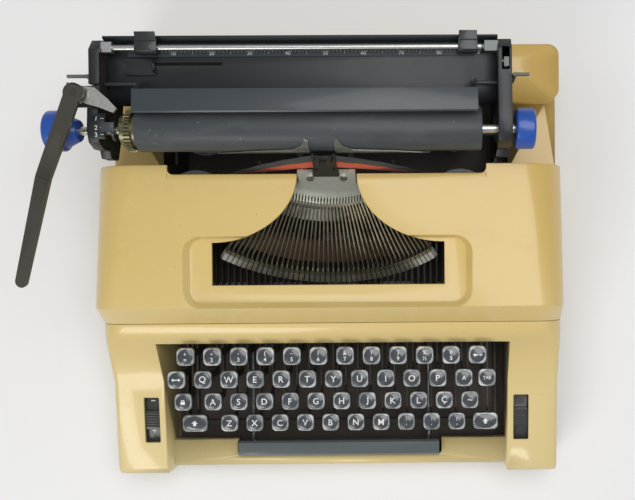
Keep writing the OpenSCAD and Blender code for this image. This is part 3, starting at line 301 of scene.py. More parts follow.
def typeSteel():
    # rusty bars; their heads, which lie furthest from the strike point, are bright from use, and a
    # painted highlight lights the outer heads while painted shade dulls the middle ones
    head = {"from": 0.1018, "to": 0.1030, "sideFrom": 0.055, "sideTo": 0.075}
    made = Finish("typeSteel", metallic=0.7, ior=1.5)
    streak = made.noise(260, 4, 0.7)
    rust = made.step(made.noise(70, 5, 0.7), 0.45, 0.7)
    shade = made.mix(streak, srgb(70, 66, 50), srgb(132, 126, 104))
    shade = made.mix(rust * 0.6, shade, srgb(66, 52, 30))
    away, reach = fromStrike(made)
    side = made.node("ShaderNodeMath", {"operation": "ABSOLUTE"}, {0: made.axis("X", away)})
    # painted light: the outer heads get a painted highlight and the middle heads painted shade
    paintedCornerLight = made.step(side, head["sideFrom"], head["sideTo"])
    headShineAndLight = made.step(reach, head["from"], head["to"]) * (0.25 + paintedCornerLight * 0.75)
    shineColour = made.mix(streak, srgb(150, 150, 140), srgb(222, 222, 214))
    made.feed("Base Color", made.mix(headShineAndLight, shade, shineColour))
    made.feed("Roughness", 0.34 + rust * 0.3 - headShineAndLight * 0.08)
    made.feed("Normal", made.bump(streak, relief["forged"]))
    return made.material


def marginSteel():
    # a bright rod and rack above the dark enamelled strip that carries the scale
    # and a dull block at the right end
    edge = {"enamelTop": 0.1146, "brightFrom": 0.1149, "block": 0.0112, "blend": 0.0002}
    made = Finish("marginSteel", ior=1.5)
    streak = made.noise(600, 3, 0.6)
    bright = made.step(made.axis("Z"), edge["enamelTop"], edge["brightFrom"])
    blockStart = max(p.co.x for p in nodes["margin_rod"].data.vertices) - edge["block"]
    block = made.step(made.axis("X"), blockStart, blockStart + edge["blend"])
    shade = made.mix(streak, srgb(168, 170, 166), srgb(206, 208, 204))
    shade = made.mix(block, shade, srgb(112, 116, 114))
    made.feed("Base Color", made.mix(bright, srgb(46, 52, 56), shade))
    made.feed("Metallic", 0.05 + bright * 0.85)
    made.feed("Roughness", 0.42 - bright * 0.16 + streak * 0.08 + block * 0.2)
    made.feed("Normal", made.bump(streak, relief["drawn"]))
    return made.material


def keyTop():
    # the black card under a clear crown: the crown is its coat
    made = Finish("keyTop", metallic=0.0, coatWeight=1.0, coatRoughness=0.04)
    cloud = made.noise(240, 4, 0.7)
    shade = made.mix(cloud, srgb(34, 37, 42), srgb(66, 72, 80))
    made.feed("Base Color", shade)
    made.feed("Roughness", 0.22 + cloud * 0.25)
    made.feed("Normal", made.bump(made.noise(500, 2), relief["peel"]))
    return made.material


def keyRim():
    # a pale rim, worn dark in patches
    made = Finish("keyRim", metallic=0.35, coatWeight=0.5, coatRoughness=0.1)
    worn = made.step(made.noise(130, 5, 0.7), 0.38, 0.68)
    shade = made.mix(worn, srgb(120, 125, 124), srgb(205, 209, 207))
    made.feed("Base Color", shade)
    made.feed("Roughness", 0.25 + made.noise(300, 3) * 0.2)
    made.feed("Normal", made.bump(made.noise(700, 2), relief["rim"]))
    return made.material


def legendWhite():
    made = Finish("legendWhite", metallic=0.0, coatWeight=0.3, coatRoughness=0.1)
    worn = made.step(made.noise(900, 3), 0.3, 0.6)
    made.feed("Base Color", made.mix(worn, srgb(200, 200, 192), srgb(242, 242, 238)))
    made.feed("Roughness", 0.35 + made.noise(500, 2) * 0.2)
    return made.material


def keyLeverFinish(name, level):
    # a key's node is stained steel up to the cap, and black plastic above that level
    made = Finish(name, ior=1.5, coatWeight=0.2)
    high = made.axis("Z") > level
    streak = made.noise(200, 4, 0.7)
    steel = made.mix(streak, srgb(46, 44, 38), srgb(96, 92, 80))
    steel = made.mix(made.step(made.noise(60, 5, 0.7), 0.5, 0.7) * 0.6, steel, srgb(78, 58, 36))
    cap = made.mix(streak, srgb(22, 23, 24), srgb(44, 46, 48))
    made.feed("Base Color", made.mix(high, steel, cap))
    made.feed("Metallic", 0.7 - high * 0.7)
    made.feed("Roughness", 0.4 - high * 0.1 + streak * 0.1)
    made.feed("Normal", made.bump(streak, relief["forged"]))
    return made.material


def ribbonCloth():
    # inked weave: dark above, red below, read from the strip's own map
    made = Finish("ribbonCloth", metallic=0.0, sheenWeight=0.2, ior=1.4)
    where = made.node("ShaderNodeUVMap", {"uv_map": "strip"})
    up = made.axis("Y", where)
    weave = made.node("ShaderNodeTexWave", {"wave_type": "BANDS", "bands_direction": "X"},
                      {"Vector": where, "Scale": 400.0, "Distortion": 0.5, "Detail": 1.0})
    rows = made.node("ShaderNodeTexWave", {"wave_type": "BANDS", "bands_direction": "Y"},
                     {"Vector": where, "Scale": 8.0, "Distortion": 0.5})
    ink = made.noise(120, 4, 0.7)
    red = made.mix(ink, srgb(176, 66, 34), srgb(226, 96, 52))
    dark = made.mix(ink, srgb(40, 42, 40), srgb(70, 74, 70))
    border = made.step(up + (made.noise(400, 2) - 0.5) * 0.04, 0.47, 0.53)
    made.feed("Base Color", made.mix(border, red, dark))
    made.feed("Roughness", 0.62 + ink * 0.2)
    made.feed("Normal", made.bump(weave * rows, relief["weave"], 0.7))
    return made.material


def leather():
    made = Finish("leather", metallic=0.0)
    grain = made.node("ShaderNodeTexVoronoi", {"feature": "F1"},
                      {"Vector": made.place, "Scale": 900.0})
    made.feed("Base Color", made.mix(made.noise(80, 5), srgb(50, 36, 24), srgb(88, 64, 40)))
    made.feed("Roughness", 0.7 + made.noise(100, 2) * 0.2)
    made.feed("Normal", made.bump(grain, relief["hide"], 0.6))
    return made.material


def clearGrey():
    # hazy see-through plastic
    made = Finish("clearGrey", metallic=0.0, coatWeight=0.8, coatRoughness=0.05, ior=1.49)
    haze = made.noise(90, 4, 0.7)
    made.feed("Base Color", made.mix(haze, srgb(92, 98, 88), srgb(120, 124, 112)))
    made.feed("Roughness", 0.18 + haze * 0.25)
    made.feed("Alpha", 0.5 + haze * 0.2)
    return made.material


print("stage: finishes")
finishes = {
    "shell": shellEnamel(),
    "darkSteel": metal("darkSteel", srgb(70, 68, 60), 0.45, 0.5, metallic=0.6,
                       stainColour=srgb(74, 52, 34)),
    "floorPlate": enamel("floorPlate", srgb(62, 52, 46), 0.55, dirt=srgb(120, 96, 84),
                         dirtShare=0.6, coat=0.0),
    "footRubber": plastic("footRubber", srgb(30, 30, 30), 0.7, 0.0, 0.4),
    "brightSteel": metal("brightSteel", srgb(186, 188, 184), 0.22, 0.2, (0.03, 1, 1)),
    "nickel": metal("nickel", srgb(200, 200, 192), 0.2, 0.25),
    "segment": segmentSteel(),
    "type": typeSteel(),
    "leather": leather(),
    "clearGrey": clearGrey(),
    "spool": plastic("spoolPlastic", srgb(74, 78, 70), 0.45, 0.1, 0.3),
    "black": plastic("blackPlastic", srgb(34, 36, 37), 0.3, 0.3, 0.25),
    "slider": plastic("sliderPlastic", srgb(52, 54, 50), 0.34, 0.3, 0.3),
    "carriage": enamel("carriageEnamel", srgb(24, 28, 30), 0.36, dirt=srgb(64, 67, 64),
                       dirtShare=0.2, coat=0.06),
    "bail": enamel("bailEnamel", srgb(54, 61, 66), 0.34, dirt=srgb(92, 95, 94),
                   dirtShare=0.3, coat=0.2),
    "lever": enamel("leverEnamel", srgb(58, 55, 46), 0.3, dirt=srgb(96, 90, 74),
                    dirtShare=0.4, coat=0.35),
    "platen": platenRubber(),
    "brass": metal("brass", srgb(122, 118, 92), 0.3, 0.5, stainColour=srgb(58, 52, 30)),
    "knob": plastic("knobBlue", srgb(26, 76, 162), 0.28, 0.3, 0.05),
    "space": plastic("spaceBarGloss", srgb(84, 92, 92), 0.12, 0.9, 0.12),
    "keyTop": keyTop(),
    "keyRim": keyRim(),
    "legend": legendWhite(),
    "ribbon": ribbonCloth(),
    "marginSteel": marginSteel(),
    "dullChrome": metal("dullChrome", srgb(118, 122, 120), 0.52, 0.3),
    "sliderMark": plastic("sliderMark", srgb(206, 209, 202), 0.5, 0.0, 0.3),
    "scaleMark": plastic("scaleMark", srgb(196, 202, 206), 0.5, 0.0, 0.4),
}

# ---- pieces made from the part's own solids ----

# How near two corners lie, in metres, before they are one: in the part's solids and in made meshes.
weld = {"solid": 3e-6, "made": 2e-6, "ring": 1e-7}
# Angles in degrees; astray is the share of a bevel's width that a corner may leave the surface by.
softening = {"flat": 0.2, "sharpest": 30, "segments": 2, "smooth": 32, "astray": 0.8, "tries": 6}


def mergedCopy(node, name):
    mesh = nodes[node].data.copy()
    mesh.name = name
    work = bmesh.new()
    work.from_mesh(mesh)
    bmesh.ops.remove_doubles(work, verts=work.verts, dist=weld["solid"])
    return mesh, work


def finished(name, mesh, finish, body, stands=(), smooth=35):
    # a finished piece: its object at the origin, one material, riding on its body
    made = bpy.data.objects.new(name, mesh)
    bpy.context.scene.collection.objects.link(made)
    mesh.materials.clear()
    mesh.materials.append(finish)
    if smooth:
        for face in mesh.polygons:
            face.use_smooth = True
        mesh.set_sharp_from_angle(angle=math.radians(smooth))
    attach(made, body)
    if stands:
        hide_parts(*stands)
    return made


def dressed(node, finish):
    # a large pressing as it is; its finish rolls the edges over
    mesh, work = mergedCopy(node, node + "Dressed")
    work.to_mesh(mesh)
    work.free()
    return finished(node + "Dressed", mesh, finish, nodes[node]["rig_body"], (node,))


def bevelled(work, edges, width):
    # a copy with these edges rounded over
    copy = work.copy()
    copy.edges.ensure_lookup_table()
    bmesh.ops.bevel(copy, geom=[copy.edges[i] for i in edges], offset=width, offset_type="OFFSET",
                    segments=softening["segments"], profile=0.5, affect="EDGES",
                    clamp_overlap=True)
    return copy


def softened(node, width, finish):
    # the part's own solid with its edges rounded over; an edge stays sharp where its bevel
    # would leave the solid's surface
    width = width * 0.001
    mesh, work = mergedCopy(node, node + "Soft")
    bmesh.ops.dissolve_limit(work, angle_limit=math.radians(softening["flat"]), verts=work.verts,
                             edges=work.edges)
    work.edges.index_update()
    surface = BVHTree.FromBMesh(work)
    edges = [e.index for e in work.edges if len(e.link_faces) == 2
             and e.calc_face_angle(0) > math.radians(softening["sharpest"])]
    for attempt in range(softening["tries"]):
        copy = bevelled(work, edges, width)
        astray = [v.co.copy() for v in copy.verts
                  if surface.find_nearest(v.co)[3] > width * softening["astray"]]
        if not astray:
            break
        copy.free()
        work.edges.ensure_lookup_table()
        reach = width * (2 + 2 * attempt)

        def far(index):
            one, two = (v.co for v in work.edges[index].verts)
            along = two - one
            square = max(along.length_squared, 1e-12)
            for spot in astray:
                share = max(0.0, min(1.0, (spot - one).dot(along) / square))
                if (one + along * share - spot).length < reach:
                    return False
            return True
        edges = [i for i in edges if far(i)]
    else:
        copy = work.copy()
        print("stage: no bevel on", node)
    work.free()
    bmesh.ops.remove_doubles(copy, verts=copy.verts, dist=weld["made"])
    bmesh.ops.triangulate(copy, faces=[f for f in copy.faces if len(f.verts) > 4])
    copy.to_mesh(mesh)
    copy.free()
    return finished(node + "Soft", mesh, finish, nodes[node]["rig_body"], (node,),
                    softening["smooth"])


def plain(node, finish):
    # the part's node as it is, with its finish
    nodes[node].data.materials.clear()
    nodes[node].data.materials.append(finish)


plainNodes = {
    "bottom_plate": "floorPlate", "rubber_feet": "footRubber", "chassis": "darkSteel",
    "carriage_rail": "darkSteel", "segment": "segment", "pivot_wire": "brightSteel",
    "type_rest": "leather", "type_guide": "darkSteel", "card_holder": "clearGrey",
    "ribbon_vibrator": "darkSteel", "spool_left": "spool", "spool_right": "spool",
    "key_fulcrum": "brightSteel", "carriage_frame": "darkSteel", "platen_core": "nickel",
    "ratchet_wheel": "brass", "feed_rollers": "black", "paper_deflector": "carriage",
    "line_space_pawl": "nickel", "paper_release": "dullChrome",
    "carriage_release": "dullChrome", "mainspring_drum": "brightSteel",
    "escapement_wheel": "nickel", "bell": "nickel", "cover_screws": "nickel",
    "typebars": "type", "typebar_g": "type", "typebar_h": "type", "margin_rod": "marginSteel",
}
for node, finish in plainNodes.items():
    plain(node, finishes[finish])

# How far each piece's edges are rounded over in mm, its finish and its slot.
softNodes = {
    "platen": (0.8, "platen", "platen_rubber"), "knob_left": (0.5, "knob", "knob_blue"),
    "knob_right": (0.5, "knob", "knob_blue"), "return_lever": (0.5, "lever", "grey_enamel"),
    "paper_table": (0.3, "carriage", "grey_enamel"), "paper_bail": (0.3, "bail", "grey_enamel"),
    "end_cover_left": (0.5, "carriage", "grey_enamel"),
    "end_cover_right": (0.5, "carriage", "grey_enamel"),
    "space_bar": (0.6, "space", "space_plastic"),
    "margin_stop_left": (0.4, "black", "black_plastic"),
    "margin_stop_right": (0.4, "black", "black_plastic"),
    "paper_side_guide": (0.4, "black", "black_plastic"),
    "touch_slider": (0.25, "slider", "black_plastic"),
    "ribbon_selector": (0.25, "slider", "black_plastic"),
    "line_space_selector": (0.25, "bail", "grey_enamel"),
}
for node, (width, finish, slotName) in softNodes.items():
    softened(node, width, finishes[finish])
dressed("base_shell", finishes["shell"])
print("stage: solids dressed")

# ---- the ribbon cover, with the sunk frame round its window ----

def ringMesh(name, rings, closed=False):
    # a mesh through rings of equally many points, with or without a face at each end
    verts = [p for ring in rings for p in ring]
    count = len(rings[0])
    faces = []
    for r in range(len(rings) - 1):
        for k in range(count):
            a, b = r * count + k, r * count + (k + 1) % count
            faces.append((a, b, b + count, a + count))
    if closed:
        last = (len(rings) - 1) * count
        faces.append(tuple(reversed(range(count))))
        faces.append(tuple(range(last, last + count)))
    mesh = bpy.data.meshes.new(name)
    mesh.from_pydata([tuple(v) for v in verts], [], faces)
    mesh.update()
    return mesh


# Drops are measured down from the flat top.
cover = {"halfWidth": 167.0, "wall": 2.5, "frontY": 117.7, "frontZ": 80.3, "slopeDepth": 12.0,
         "top": 97.0, "frontDrop": 1.0, "bottom": 60.3, "rearY": 222.4, "rollDepth": 4.4,
         "earDepth": 6.6, "earDrop": 1.5, "earFall": 0.14, "earGap": 221.0, "frontRadius": 20.0,
         "rearRadius": 34.0, "windowX": 81.2, "windowY": 145.2, "windowDepth": 29.8,
         "neckX": 20.7, "neckRun": 9.0, "sunk": 5.5, "border": 14.0, "borderTrim": 3.0,
         "borderRear": 2.5}
# The sunk frame's rings from its floor up: how far each stands out at the front and sides, how
# far at the rear, and its corners' radius.
frameRings = ((0, 0, 8), (1.2, 0.6, 9), (4.8, 1.6, 12), (7, 2.2, 13))


def loftMesh(name, rings):
    # a closed solid through rings of points in mm
    mesh = ringMesh(name, [[at(*p) for p in ring] for ring in rings], closed=True)
    work = bmesh.new()
    work.from_mesh(mesh)
    bmesh.ops.recalc_face_normals(work, faces=work.faces)
    work.to_mesh(mesh)
    work.free()
    return mesh


def shoulderRing(y, halfWidth, low, high, radius, steps=14):
    # a section of the cover: straight sides and round shoulders
    angles = [math.radians(90 * k / steps) for k in range(steps + 1)]
    corner = [(radius * math.cos(a), radius * math.sin(a)) for a in angles]
    right = [(halfWidth - radius + x, y, high - radius + z) for x, z in corner]
    left = [(-x, y, z) for x, y, z in reversed(right)]
    return [(halfWidth, y, low)] + right + left + [(-halfWidth, y, low)]


def coverBody(name, inset, low, past):
    # the cover's outer form, or its hollow: set in all round, and run on past the ears' ends
    w, top = cover["halfWidth"] - inset, cover["top"] - inset
    front, rear = cover["frontRadius"], cover["rearRadius"]
    end = cover["rearY"] + cover["earDepth"] + past
    return loftMesh(name, [
        shoulderRing(cover["frontY"] + inset / 2, w, low, cover["frontZ"] - inset, front),
        shoulderRing(cover["frontY"] + cover["slopeDepth"], w, low, top - cover["frontDrop"],
                     front),
        shoulderRing(cover["rearY"] - cover["rollDepth"], w, low, top, rear),
        shoulderRing(end, w, low, top - cover["earDrop"] - past * cover["earFall"], rear)])


def roundedRing(a, b, radius, z, steps=8):
    # a rectangle with round corners from corner a to corner b
    out = []
    left, right, front, rear = a[0] + radius, b[0] - radius, a[1] + radius, b[1] - radius
    corners = ((right, rear, 0), (left, rear, 90), (left, front, 180), (right, front, 270))
    for x, y, start in corners:
        for k in range(steps + 1):
            angle = math.radians(start + 90 * k / steps)
            out.append((x + radius * math.cos(angle), y + radius * math.sin(angle), z))
    return out


def sunkFrame(name, grow):
    # the room over the sunk frame round the window, grown all round by grow
    floor, top = cover["top"] - cover["sunk"], cover["top"]
    x1 = cover["windowX"] + cover["border"]
    y0 = cover["windowY"] - cover["border"] + cover["borderTrim"]
    y1 = cover["windowY"] + cover["windowDepth"] + cover["borderRear"]
    heights = (floor - grow, floor + 0.4, top - 1.2, top + 1)
    rings = []
    for (out, behind, radius), z in zip(frameRings, heights):
        rings.append(roundedRing((-x1 - out - grow, y0 - out - grow),
                                 (x1 + out + grow, y1 + behind + grow), radius, z))
    return loftMesh(name, rings)


def windowPrism(name):
    # straight in front, hollow shoulders at the sides and a neck at the rear
    wide = cover["windowX"] - cover["neckX"]
    deep = cover["rearY"] - cover["windowY"] - cover["windowDepth"]
    side = [(cover["windowX"] - wide * math.cos(math.radians(t)),
             cover["rearY"] - deep * math.sin(math.radians(t))) for t in range(90, -1, -3)]
    neckEnd = (cover["neckX"], cover["rearY"] + cover["neckRun"])
    right = [(cover["windowX"], cover["windowY"])] + side + [neckEnd]
    flat = right + [(-x, y) for x, y in reversed(right)]
    return loftMesh(name, [[(x, y, z) for x, y in flat] for z in (55, 110)])


def blockMesh(name, a, b, radius=4.0):
    return loftMesh(name, [roundedRing(a, b, radius, z) for z in (a[2], b[2])])


def meshOf(holder):
    # the mesh that an object shows once its modifiers have run
    return bpy.data.meshes.new_from_object(
        holder.evaluated_get(bpy.context.evaluated_depsgraph_get()))


def cutAway(target, cutter):
    # the cutter's volume is taken out of the target's mesh
    pieces = [bpy.data.objects.new(m.name, m) for m in (target, cutter)]
    for piece in pieces:
        bpy.context.scene.collection.objects.link(piece)
    modifier = pieces[0].modifiers.new("cut", "BOOLEAN")
    modifier.operation, modifier.solver, modifier.object = "DIFFERENCE", "EXACT", pieces[1]
    bpy.context.view_layer.update()
    made = meshOf(pieces[0])
    for piece in pieces:
        bpy.data.objects.remove(piece)
    return made


def coverMesh():
    # a thin shell; between its ears the rear edge is rolled down and cut back
    top, rear, gap, wall = cover["top"], cover["rearY"], cover["earGap"] / 2, cover["wall"]
    roll = rear - cover["rollDepth"]
    hollow = cutAway(coverBody("coverHollow", wall, 40, 3.3), sunkFrame("coverSkin", wall))
    made = cutAway(coverBody("ribbonCoverShell", 0, cover["bottom"], 0), hollow)
    lip = loftMesh("coverLip", [[(x, roll, top + 2), (x, roll, top), (x, rear, top - 1.6),
                                 (x, rear + 3, top + 2)] for x in (-gap, gap)])
    for cutter in (sunkFrame("coverFrame", 0), windowPrism("coverWindow"), lip,
                   blockMesh("coverGap", (-gap, rear, 30), (gap, rear + 20, top + 5))):
        made = cutAway(made, cutter)
    work = bmesh.new()
    work.from_mesh(made)
    bmesh.ops.remove_doubles(work, verts=work.verts, dist=weld["made"])
    bmesh.ops.dissolve_degenerate(work, dist=1e-6, edges=work.edges)
    work.to_mesh(made)
    work.free()
    return made


finished("ribbonCoverShell", coverMesh(), finishes["shell"], nodes["ribbon_cover"]["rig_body"],
         ("ribbon_cover",), 28)
print("stage: ribbon cover")

# ---- repeats with Geometry Nodes ----


def repeater(name):
    # a tree that sets a template on every point of a mesh
    tree = bpy.data.node_groups.new(name, "GeometryNodeTree")
    face = tree.interface
    face.new_socket("Points", in_out="INPUT", socket_type="NodeSocketGeometry")
    face.new_socket("Template", in_out="INPUT", socket_type="NodeSocketObject")
    face.new_socket("Finish", in_out="INPUT", socket_type="NodeSocketMaterial")
    face.new_socket("Made", in_out="OUTPUT", socket_type="NodeSocketGeometry")
    make, join = tree.nodes.new, tree.links.new
    entry, leave = make("NodeGroupInput"), make("NodeGroupOutput")
    info, points = make("GeometryNodeObjectInfo"), make("GeometryNodeMeshToPoints")
    setter = make("GeometryNodeInstanceOnPoints")
    real, paint = make("GeometryNodeRealizeInstances"), make("GeometryNodeSetMaterial")
    join(entry.outputs["Points"], points.inputs["Mesh"])
    join(entry.outputs["Template"], info.inputs["Object"])
    join(points.outputs["Points"], setter.inputs["Points"])
    join(info.outputs["Geometry"], setter.inputs["Instance"])
    join(setter.outputs["Instances"], real.inputs["Geometry"])
    join(real.outputs["Geometry"], paint.inputs["Geometry"])
    join(entry.outputs["Finish"], paint.inputs["Material"])
    join(paint.outputs["Geometry"], leave.inputs["Made"])
    return tree


repeatTree = repeater("repeatPiece")


def repeated(name, template, spots, finish, body, smooth):
    # the template on every spot, in metres
    base = bpy.data.meshes.new(name + "Points")
    base.from_pydata([tuple(spot) for spot in spots], [], [])
    holder = bpy.data.objects.new(name + "Holder", base)
    model = bpy.data.objects.new(name + "Template", template)
    for item in (holder, model):
        bpy.context.scene.collection.objects.link(item)
    modifier = holder.modifiers.new("repeat", "NODES")
    modifier.node_group = repeatTree
    for item in repeatTree.interface.items_tree:
        if item.name in ("Template", "Finish"):
            modifier[item.identifier] = {"Template": model, "Finish": finish}[item.name]
    bpy.context.view_layer.update()
    mesh = meshOf(holder)
    mesh.name = name
    holder.modifiers.remove(modifier)
    bpy.data.objects.remove(holder)
    bpy.data.objects.remove(model)
    return finished(name, mesh, finish, body, smooth=smooth)


# ---- the keyboard ----

# Rows count from the rear one, 0, to the front one, 3; a row's offset is in quarters of a pitch.
keyboard = {"firstX": -104.7, "pitch": 19.05, "offsets": (0, 2, 3, 5), "lastRow": 3,
            "frontY": 39.5, "frontZ": 48.6, "rowPitch": 18.0, "rowRise": 9.8, "cap": 12.4,
            "shiftCap": 18.4, "capDepth": 5.0, "crown": 5.15, "crownHeight": 0.75,
            "crownGrip": 0.12, "crownSeat": 0.1}
lettering = {"single": 6.4, "word": 3.2, "upper": 3.9, "lower": 4.1, "upperRise": 2.0,
             "lowerRise": -2.1, "lift": 0.14, "weight": 0.012, "steps": 3}


def rowY(row):
    return keyboard["frontY"] + (keyboard["lastRow"] - row) * keyboard["rowPitch"]


def rowZ(row):
    return keyboard["frontZ"] + (keyboard["lastRow"] - row) * keyboard["rowRise"]


def keyX(row, index):
    return keyboard["firstX"] + (keyboard["offsets"][row] / 4 + index) * keyboard["pitch"]


def ringAngles(count=40):
    return [2 * math.pi * (k + 0.5) / count for k in range(count)]


def squircle(width, depth, corner, z, halvings=26):
    # a rounded rectangle's points, in metres, starting on the +x side
    straightX, straightY = width / 2 - corner, depth / 2 - corner
    out = []
    for angle in ringAngles():
        c, s = math.cos(angle), math.sin(angle)
        # halve the ray's length until it ends on the rounded outline
        low, high = 0.0, width
        for _ in range(halvings):
            mid = (low + high) / 2
            dx, dy = max(abs(c * mid) - straightX, 0), max(abs(s * mid) - straightY, 0)
            if dx > 0 and dy > 0:
                inside = math.hypot(dx, dy) <= corner
            else:
                inside = abs(c * mid) <= width / 2 and abs(s * mid) <= depth / 2
            low, high = (mid, high) if inside else (low, mid)
        out.append(Vector((c * low, s * low, z)) * 0.001)
    return out


def ellipse(rx, ry, z):
    return [Vector((rx * math.cos(a), ry * math.sin(a), z)) * 0.001 for a in ringAngles()]


def loopRings(name, rings):
    # rings joined into a closed band, the last ring to the first
    mesh = ringMesh(name, rings + [rings[0]])
    work = bmesh.new()
    work.from_mesh(mesh)
    bmesh.ops.remove_doubles(work, verts=work.verts, dist=weld["ring"])
    bmesh.ops.recalc_face_normals(work, faces=work.faces)
    work.to_mesh(mesh)
    work.free()
    return mesh


# A rim's outer rings, up its side and over its top: how far each stands out, its corner's radius
# and its height. Then the round opening's rings down to the crown, and the way back outside.
rimOutside = ((0.1, 3.4, -2.6), (0.3, 3.5, -1.2), (0.1, 3.4, -0.35), (-0.5, 3.2, 0.02),
              (-1.2, 3.0, 0.1))
rimOpening = ((0.25, 0.1), (0, -0.25), (-0.3, -0.6))
rimUnderside = ((-1.0, 3.0, -1.0), (-0.2, 3.3, -2.6))


def rimMesh(width):
    cap, crown = keyboard["cap"], keyboard["crown"]
    extra = (width - cap) / 2
    outside, underside = ([squircle(width + out, cap + out, corner, z) for out, corner, z in rings]
                          for rings in (rimOutside, rimUnderside))
    opening = [ellipse(crown + out + extra, crown + out, z) for out, z in rimOpening]
    return loopRings("rimTemplate", outside + opening + underside)


def domed(share):
    # height of the crown's face over the rim's level, at a share of the way from its middle
    return keyboard["crownHeight"] * (1 - share ** 2) - keyboard["crownSeat"]


def crownMesh(width):
    extra = (width - keyboard["cap"]) / 2
    r = keyboard["crown"] + keyboard["crownGrip"]
    rings = [ellipse(r * 0.96 + extra, r * 0.96, -0.7), ellipse(r + extra, r, domed(1))]
    for share in (0.94, 0.82, 0.62, 0.38, 0.16):
        rings.append(ellipse(r * share + extra * (0.3 + 0.7 * share), r * share, domed(share)))
    return ringMesh("crownTemplate", rings, closed=True)


def crownTop(x, y, width):
    # the same height at a point measured from the key's middle, in mm
    extra = (width - keyboard["cap"]) / 2
    r = keyboard["crown"] + keyboard["crownGrip"]
    return domed(min(1.0, math.hypot(max(abs(x) - extra, 0), y) / r))


def glyphMesh(text, size):
    # letters as flat mesh parts, centred, in mm
    curve = bpy.data.curves.new("glyph", "FONT")
    curve.body, curve.size = text, size
    curve.align_x = curve.align_y = "CENTER"
    curve.resolution_u = lettering["steps"]
    curve.offset = lettering["weight"] * size
    holder = bpy.data.objects.new("glyphHolder", curve)
    bpy.context.scene.collection.objects.link(holder)
    bpy.context.view_layer.update()
    mesh = meshOf(holder)
    xs, ys = [v.co.x for v in mesh.vertices], [v.co.y for v in mesh.vertices]
    middleX, middleY = (min(xs) + max(xs)) / 2, (min(ys) + max(ys)) / 2
    points = [(x - middleX, y - middleY) for x, y in zip(xs, ys)]
    faces = [tuple(p.vertices) for p in mesh.polygons]
    bpy.data.objects.remove(holder)
    bpy.data.curves.remove(curve)
    bpy.data.meshes.remove(mesh)
    return points, faces


# The marks that aren't letters, as outlines in mm.
arrowParts = {
    "left": [[(-3.4, 0), (-1.6, 1.5), (-1.6, 0.45), (3.2, 0.45), (3.2, -0.45), (-1.6, -0.45),
              (-1.6, -1.5)]],
    "margin": [[(-3.4, 0), (-1.8, 1.3), (-1.8, 0.4), (1.8, 0.4), (1.8, 1.3), (3.4, 0), (1.8, -1.3),
                (1.8, -0.4), (-1.8, -0.4), (-1.8, -1.3)]],
    "lock": [[(-1.6, -1.8), (1.6, -1.8), (1.6, 0.2), (-1.6, 0.2)],
             [(-1.2, 0.2), (-1.2, 1.6), (1.2, 1.6), (1.2, 0.2), (0.6, 0.2), (0.6, 1.0), (-0.6, 1.0),
              (-0.6, 0.2)]],
    "shift": [[(0, 2.2), (-2.4, 0), (-1.1, 0), (-1.1, -1.8), (1.1, -1.8), (1.1, 0), (2.4, 0)]],
}
glyphStore = {}


def glyph(mark, size):
    if (mark, size) not in glyphStore:
        glyphStore[(mark, size)] = glyphMesh(mark, size)
    return glyphStore[(mark, size)]


def legendParts(mark, size):
    if mark in arrowParts:
        return [(loop, [tuple(range(len(loop)))]) for loop in arrowParts[mark]]
    return [glyph(mark, size)]


def upwardMesh(name, verts, faces):
    # flat marks as triangles that face up
    mesh = bpy.data.meshes.new(name)
    mesh.from_pydata([tuple(v) for v in verts], [], faces)
    work = bmesh.new()
    work.from_mesh(mesh)
    bmesh.ops.triangulate(work, faces=work.faces)
    for face in work.faces:
        face.normal_update()
        if face.normal.z < 0:
            face.normal_flip()
    work.to_mesh(mesh)
    work.free()
    return mesh


def legendMesh(name, marks):
    # marks: (mark, size, x, y, z, width, offset in y); each lies on its key's crown
    verts, faces = [], []
    for mark, size, x, y, z, width, rise in marks:
        for flat, polygons in legendParts(mark, size):
            start = len(verts)
            for u, v in flat:
                top = z + crownTop(u, rise + v, width) + lettering["lift"]
                verts.append(at(x + u, y + rise + v, top))
            faces += [tuple(start + k for k in polygon) for polygon in polygons]
    return upwardMesh(name, verts, faces)


rowMarks = [
    [("+", "="), ("\"", "2"), ("'", "3"), ("(", "4"), ("_", "5"), ("?", "6"), ("&", "7"),
     ("!", "8"), (")", "9"), ("%", "½"), ("0", "$")],
    ["Q", "W", "E", "R", "T", "Y", "U", "I", "O", "P", "^"],
    ["A", "S", "D", "F", "G", "H", "J", "K", "L", "Ç", "~"],
    ["Z", "X", "C", "V", "B", "N", "M", (";", ","), (":", "."), ("/", "-")],
]
# Keys beside the rows: x in mm, row, mark, and which width.
outerKeys = {
    "shift_key_left": (-106.8, 3, "shift", "shiftCap"),
    "shift_key_right": (112.2, 3, "shift", "shiftCap"),
    "shift_lock_key": (-112.6, 2, "lock", "cap"),
    "margin_release_key": (-114.4, 1, "margin", "cap"),
    "backspace_key": (104.8, 0, "left", "cap"),
    "tab_key": (112.2, 1, "TAB", "cap"),
}
# Keys of the third row that have a body of their own, by their place in the row.
soloKeys = {2: {4: "key_g", 5: "key_h"}}


def keySet(label, body, keys, width):
    # the rims, crowns and legends of the keys that share a body
    spots = [at(x, y, z) for x, y, z, _ in keys]
    repeated(label + "Rims", rimMesh(width), spots, finishes["keyRim"], body, 50)
    repeated(label + "Crowns", crownMesh(width), spots, finishes["keyTop"], body, 60)
    marks = []
    for x, y, z, mark in keys:
        if isinstance(mark, tuple):
            for part, level in zip(mark, ("upper", "lower")):
                marks.append((part, lettering[level], x, y, z, width, lettering[level + "Rise"]))
        else:
            size = lettering["word" if mark == "TAB" else "single"]
            marks.append((mark, size, x, y, z, width, 0.0))
    finished(label + "Legends", legendMesh(label + "Legends", marks), finishes["legend"], body,
             smooth=0)


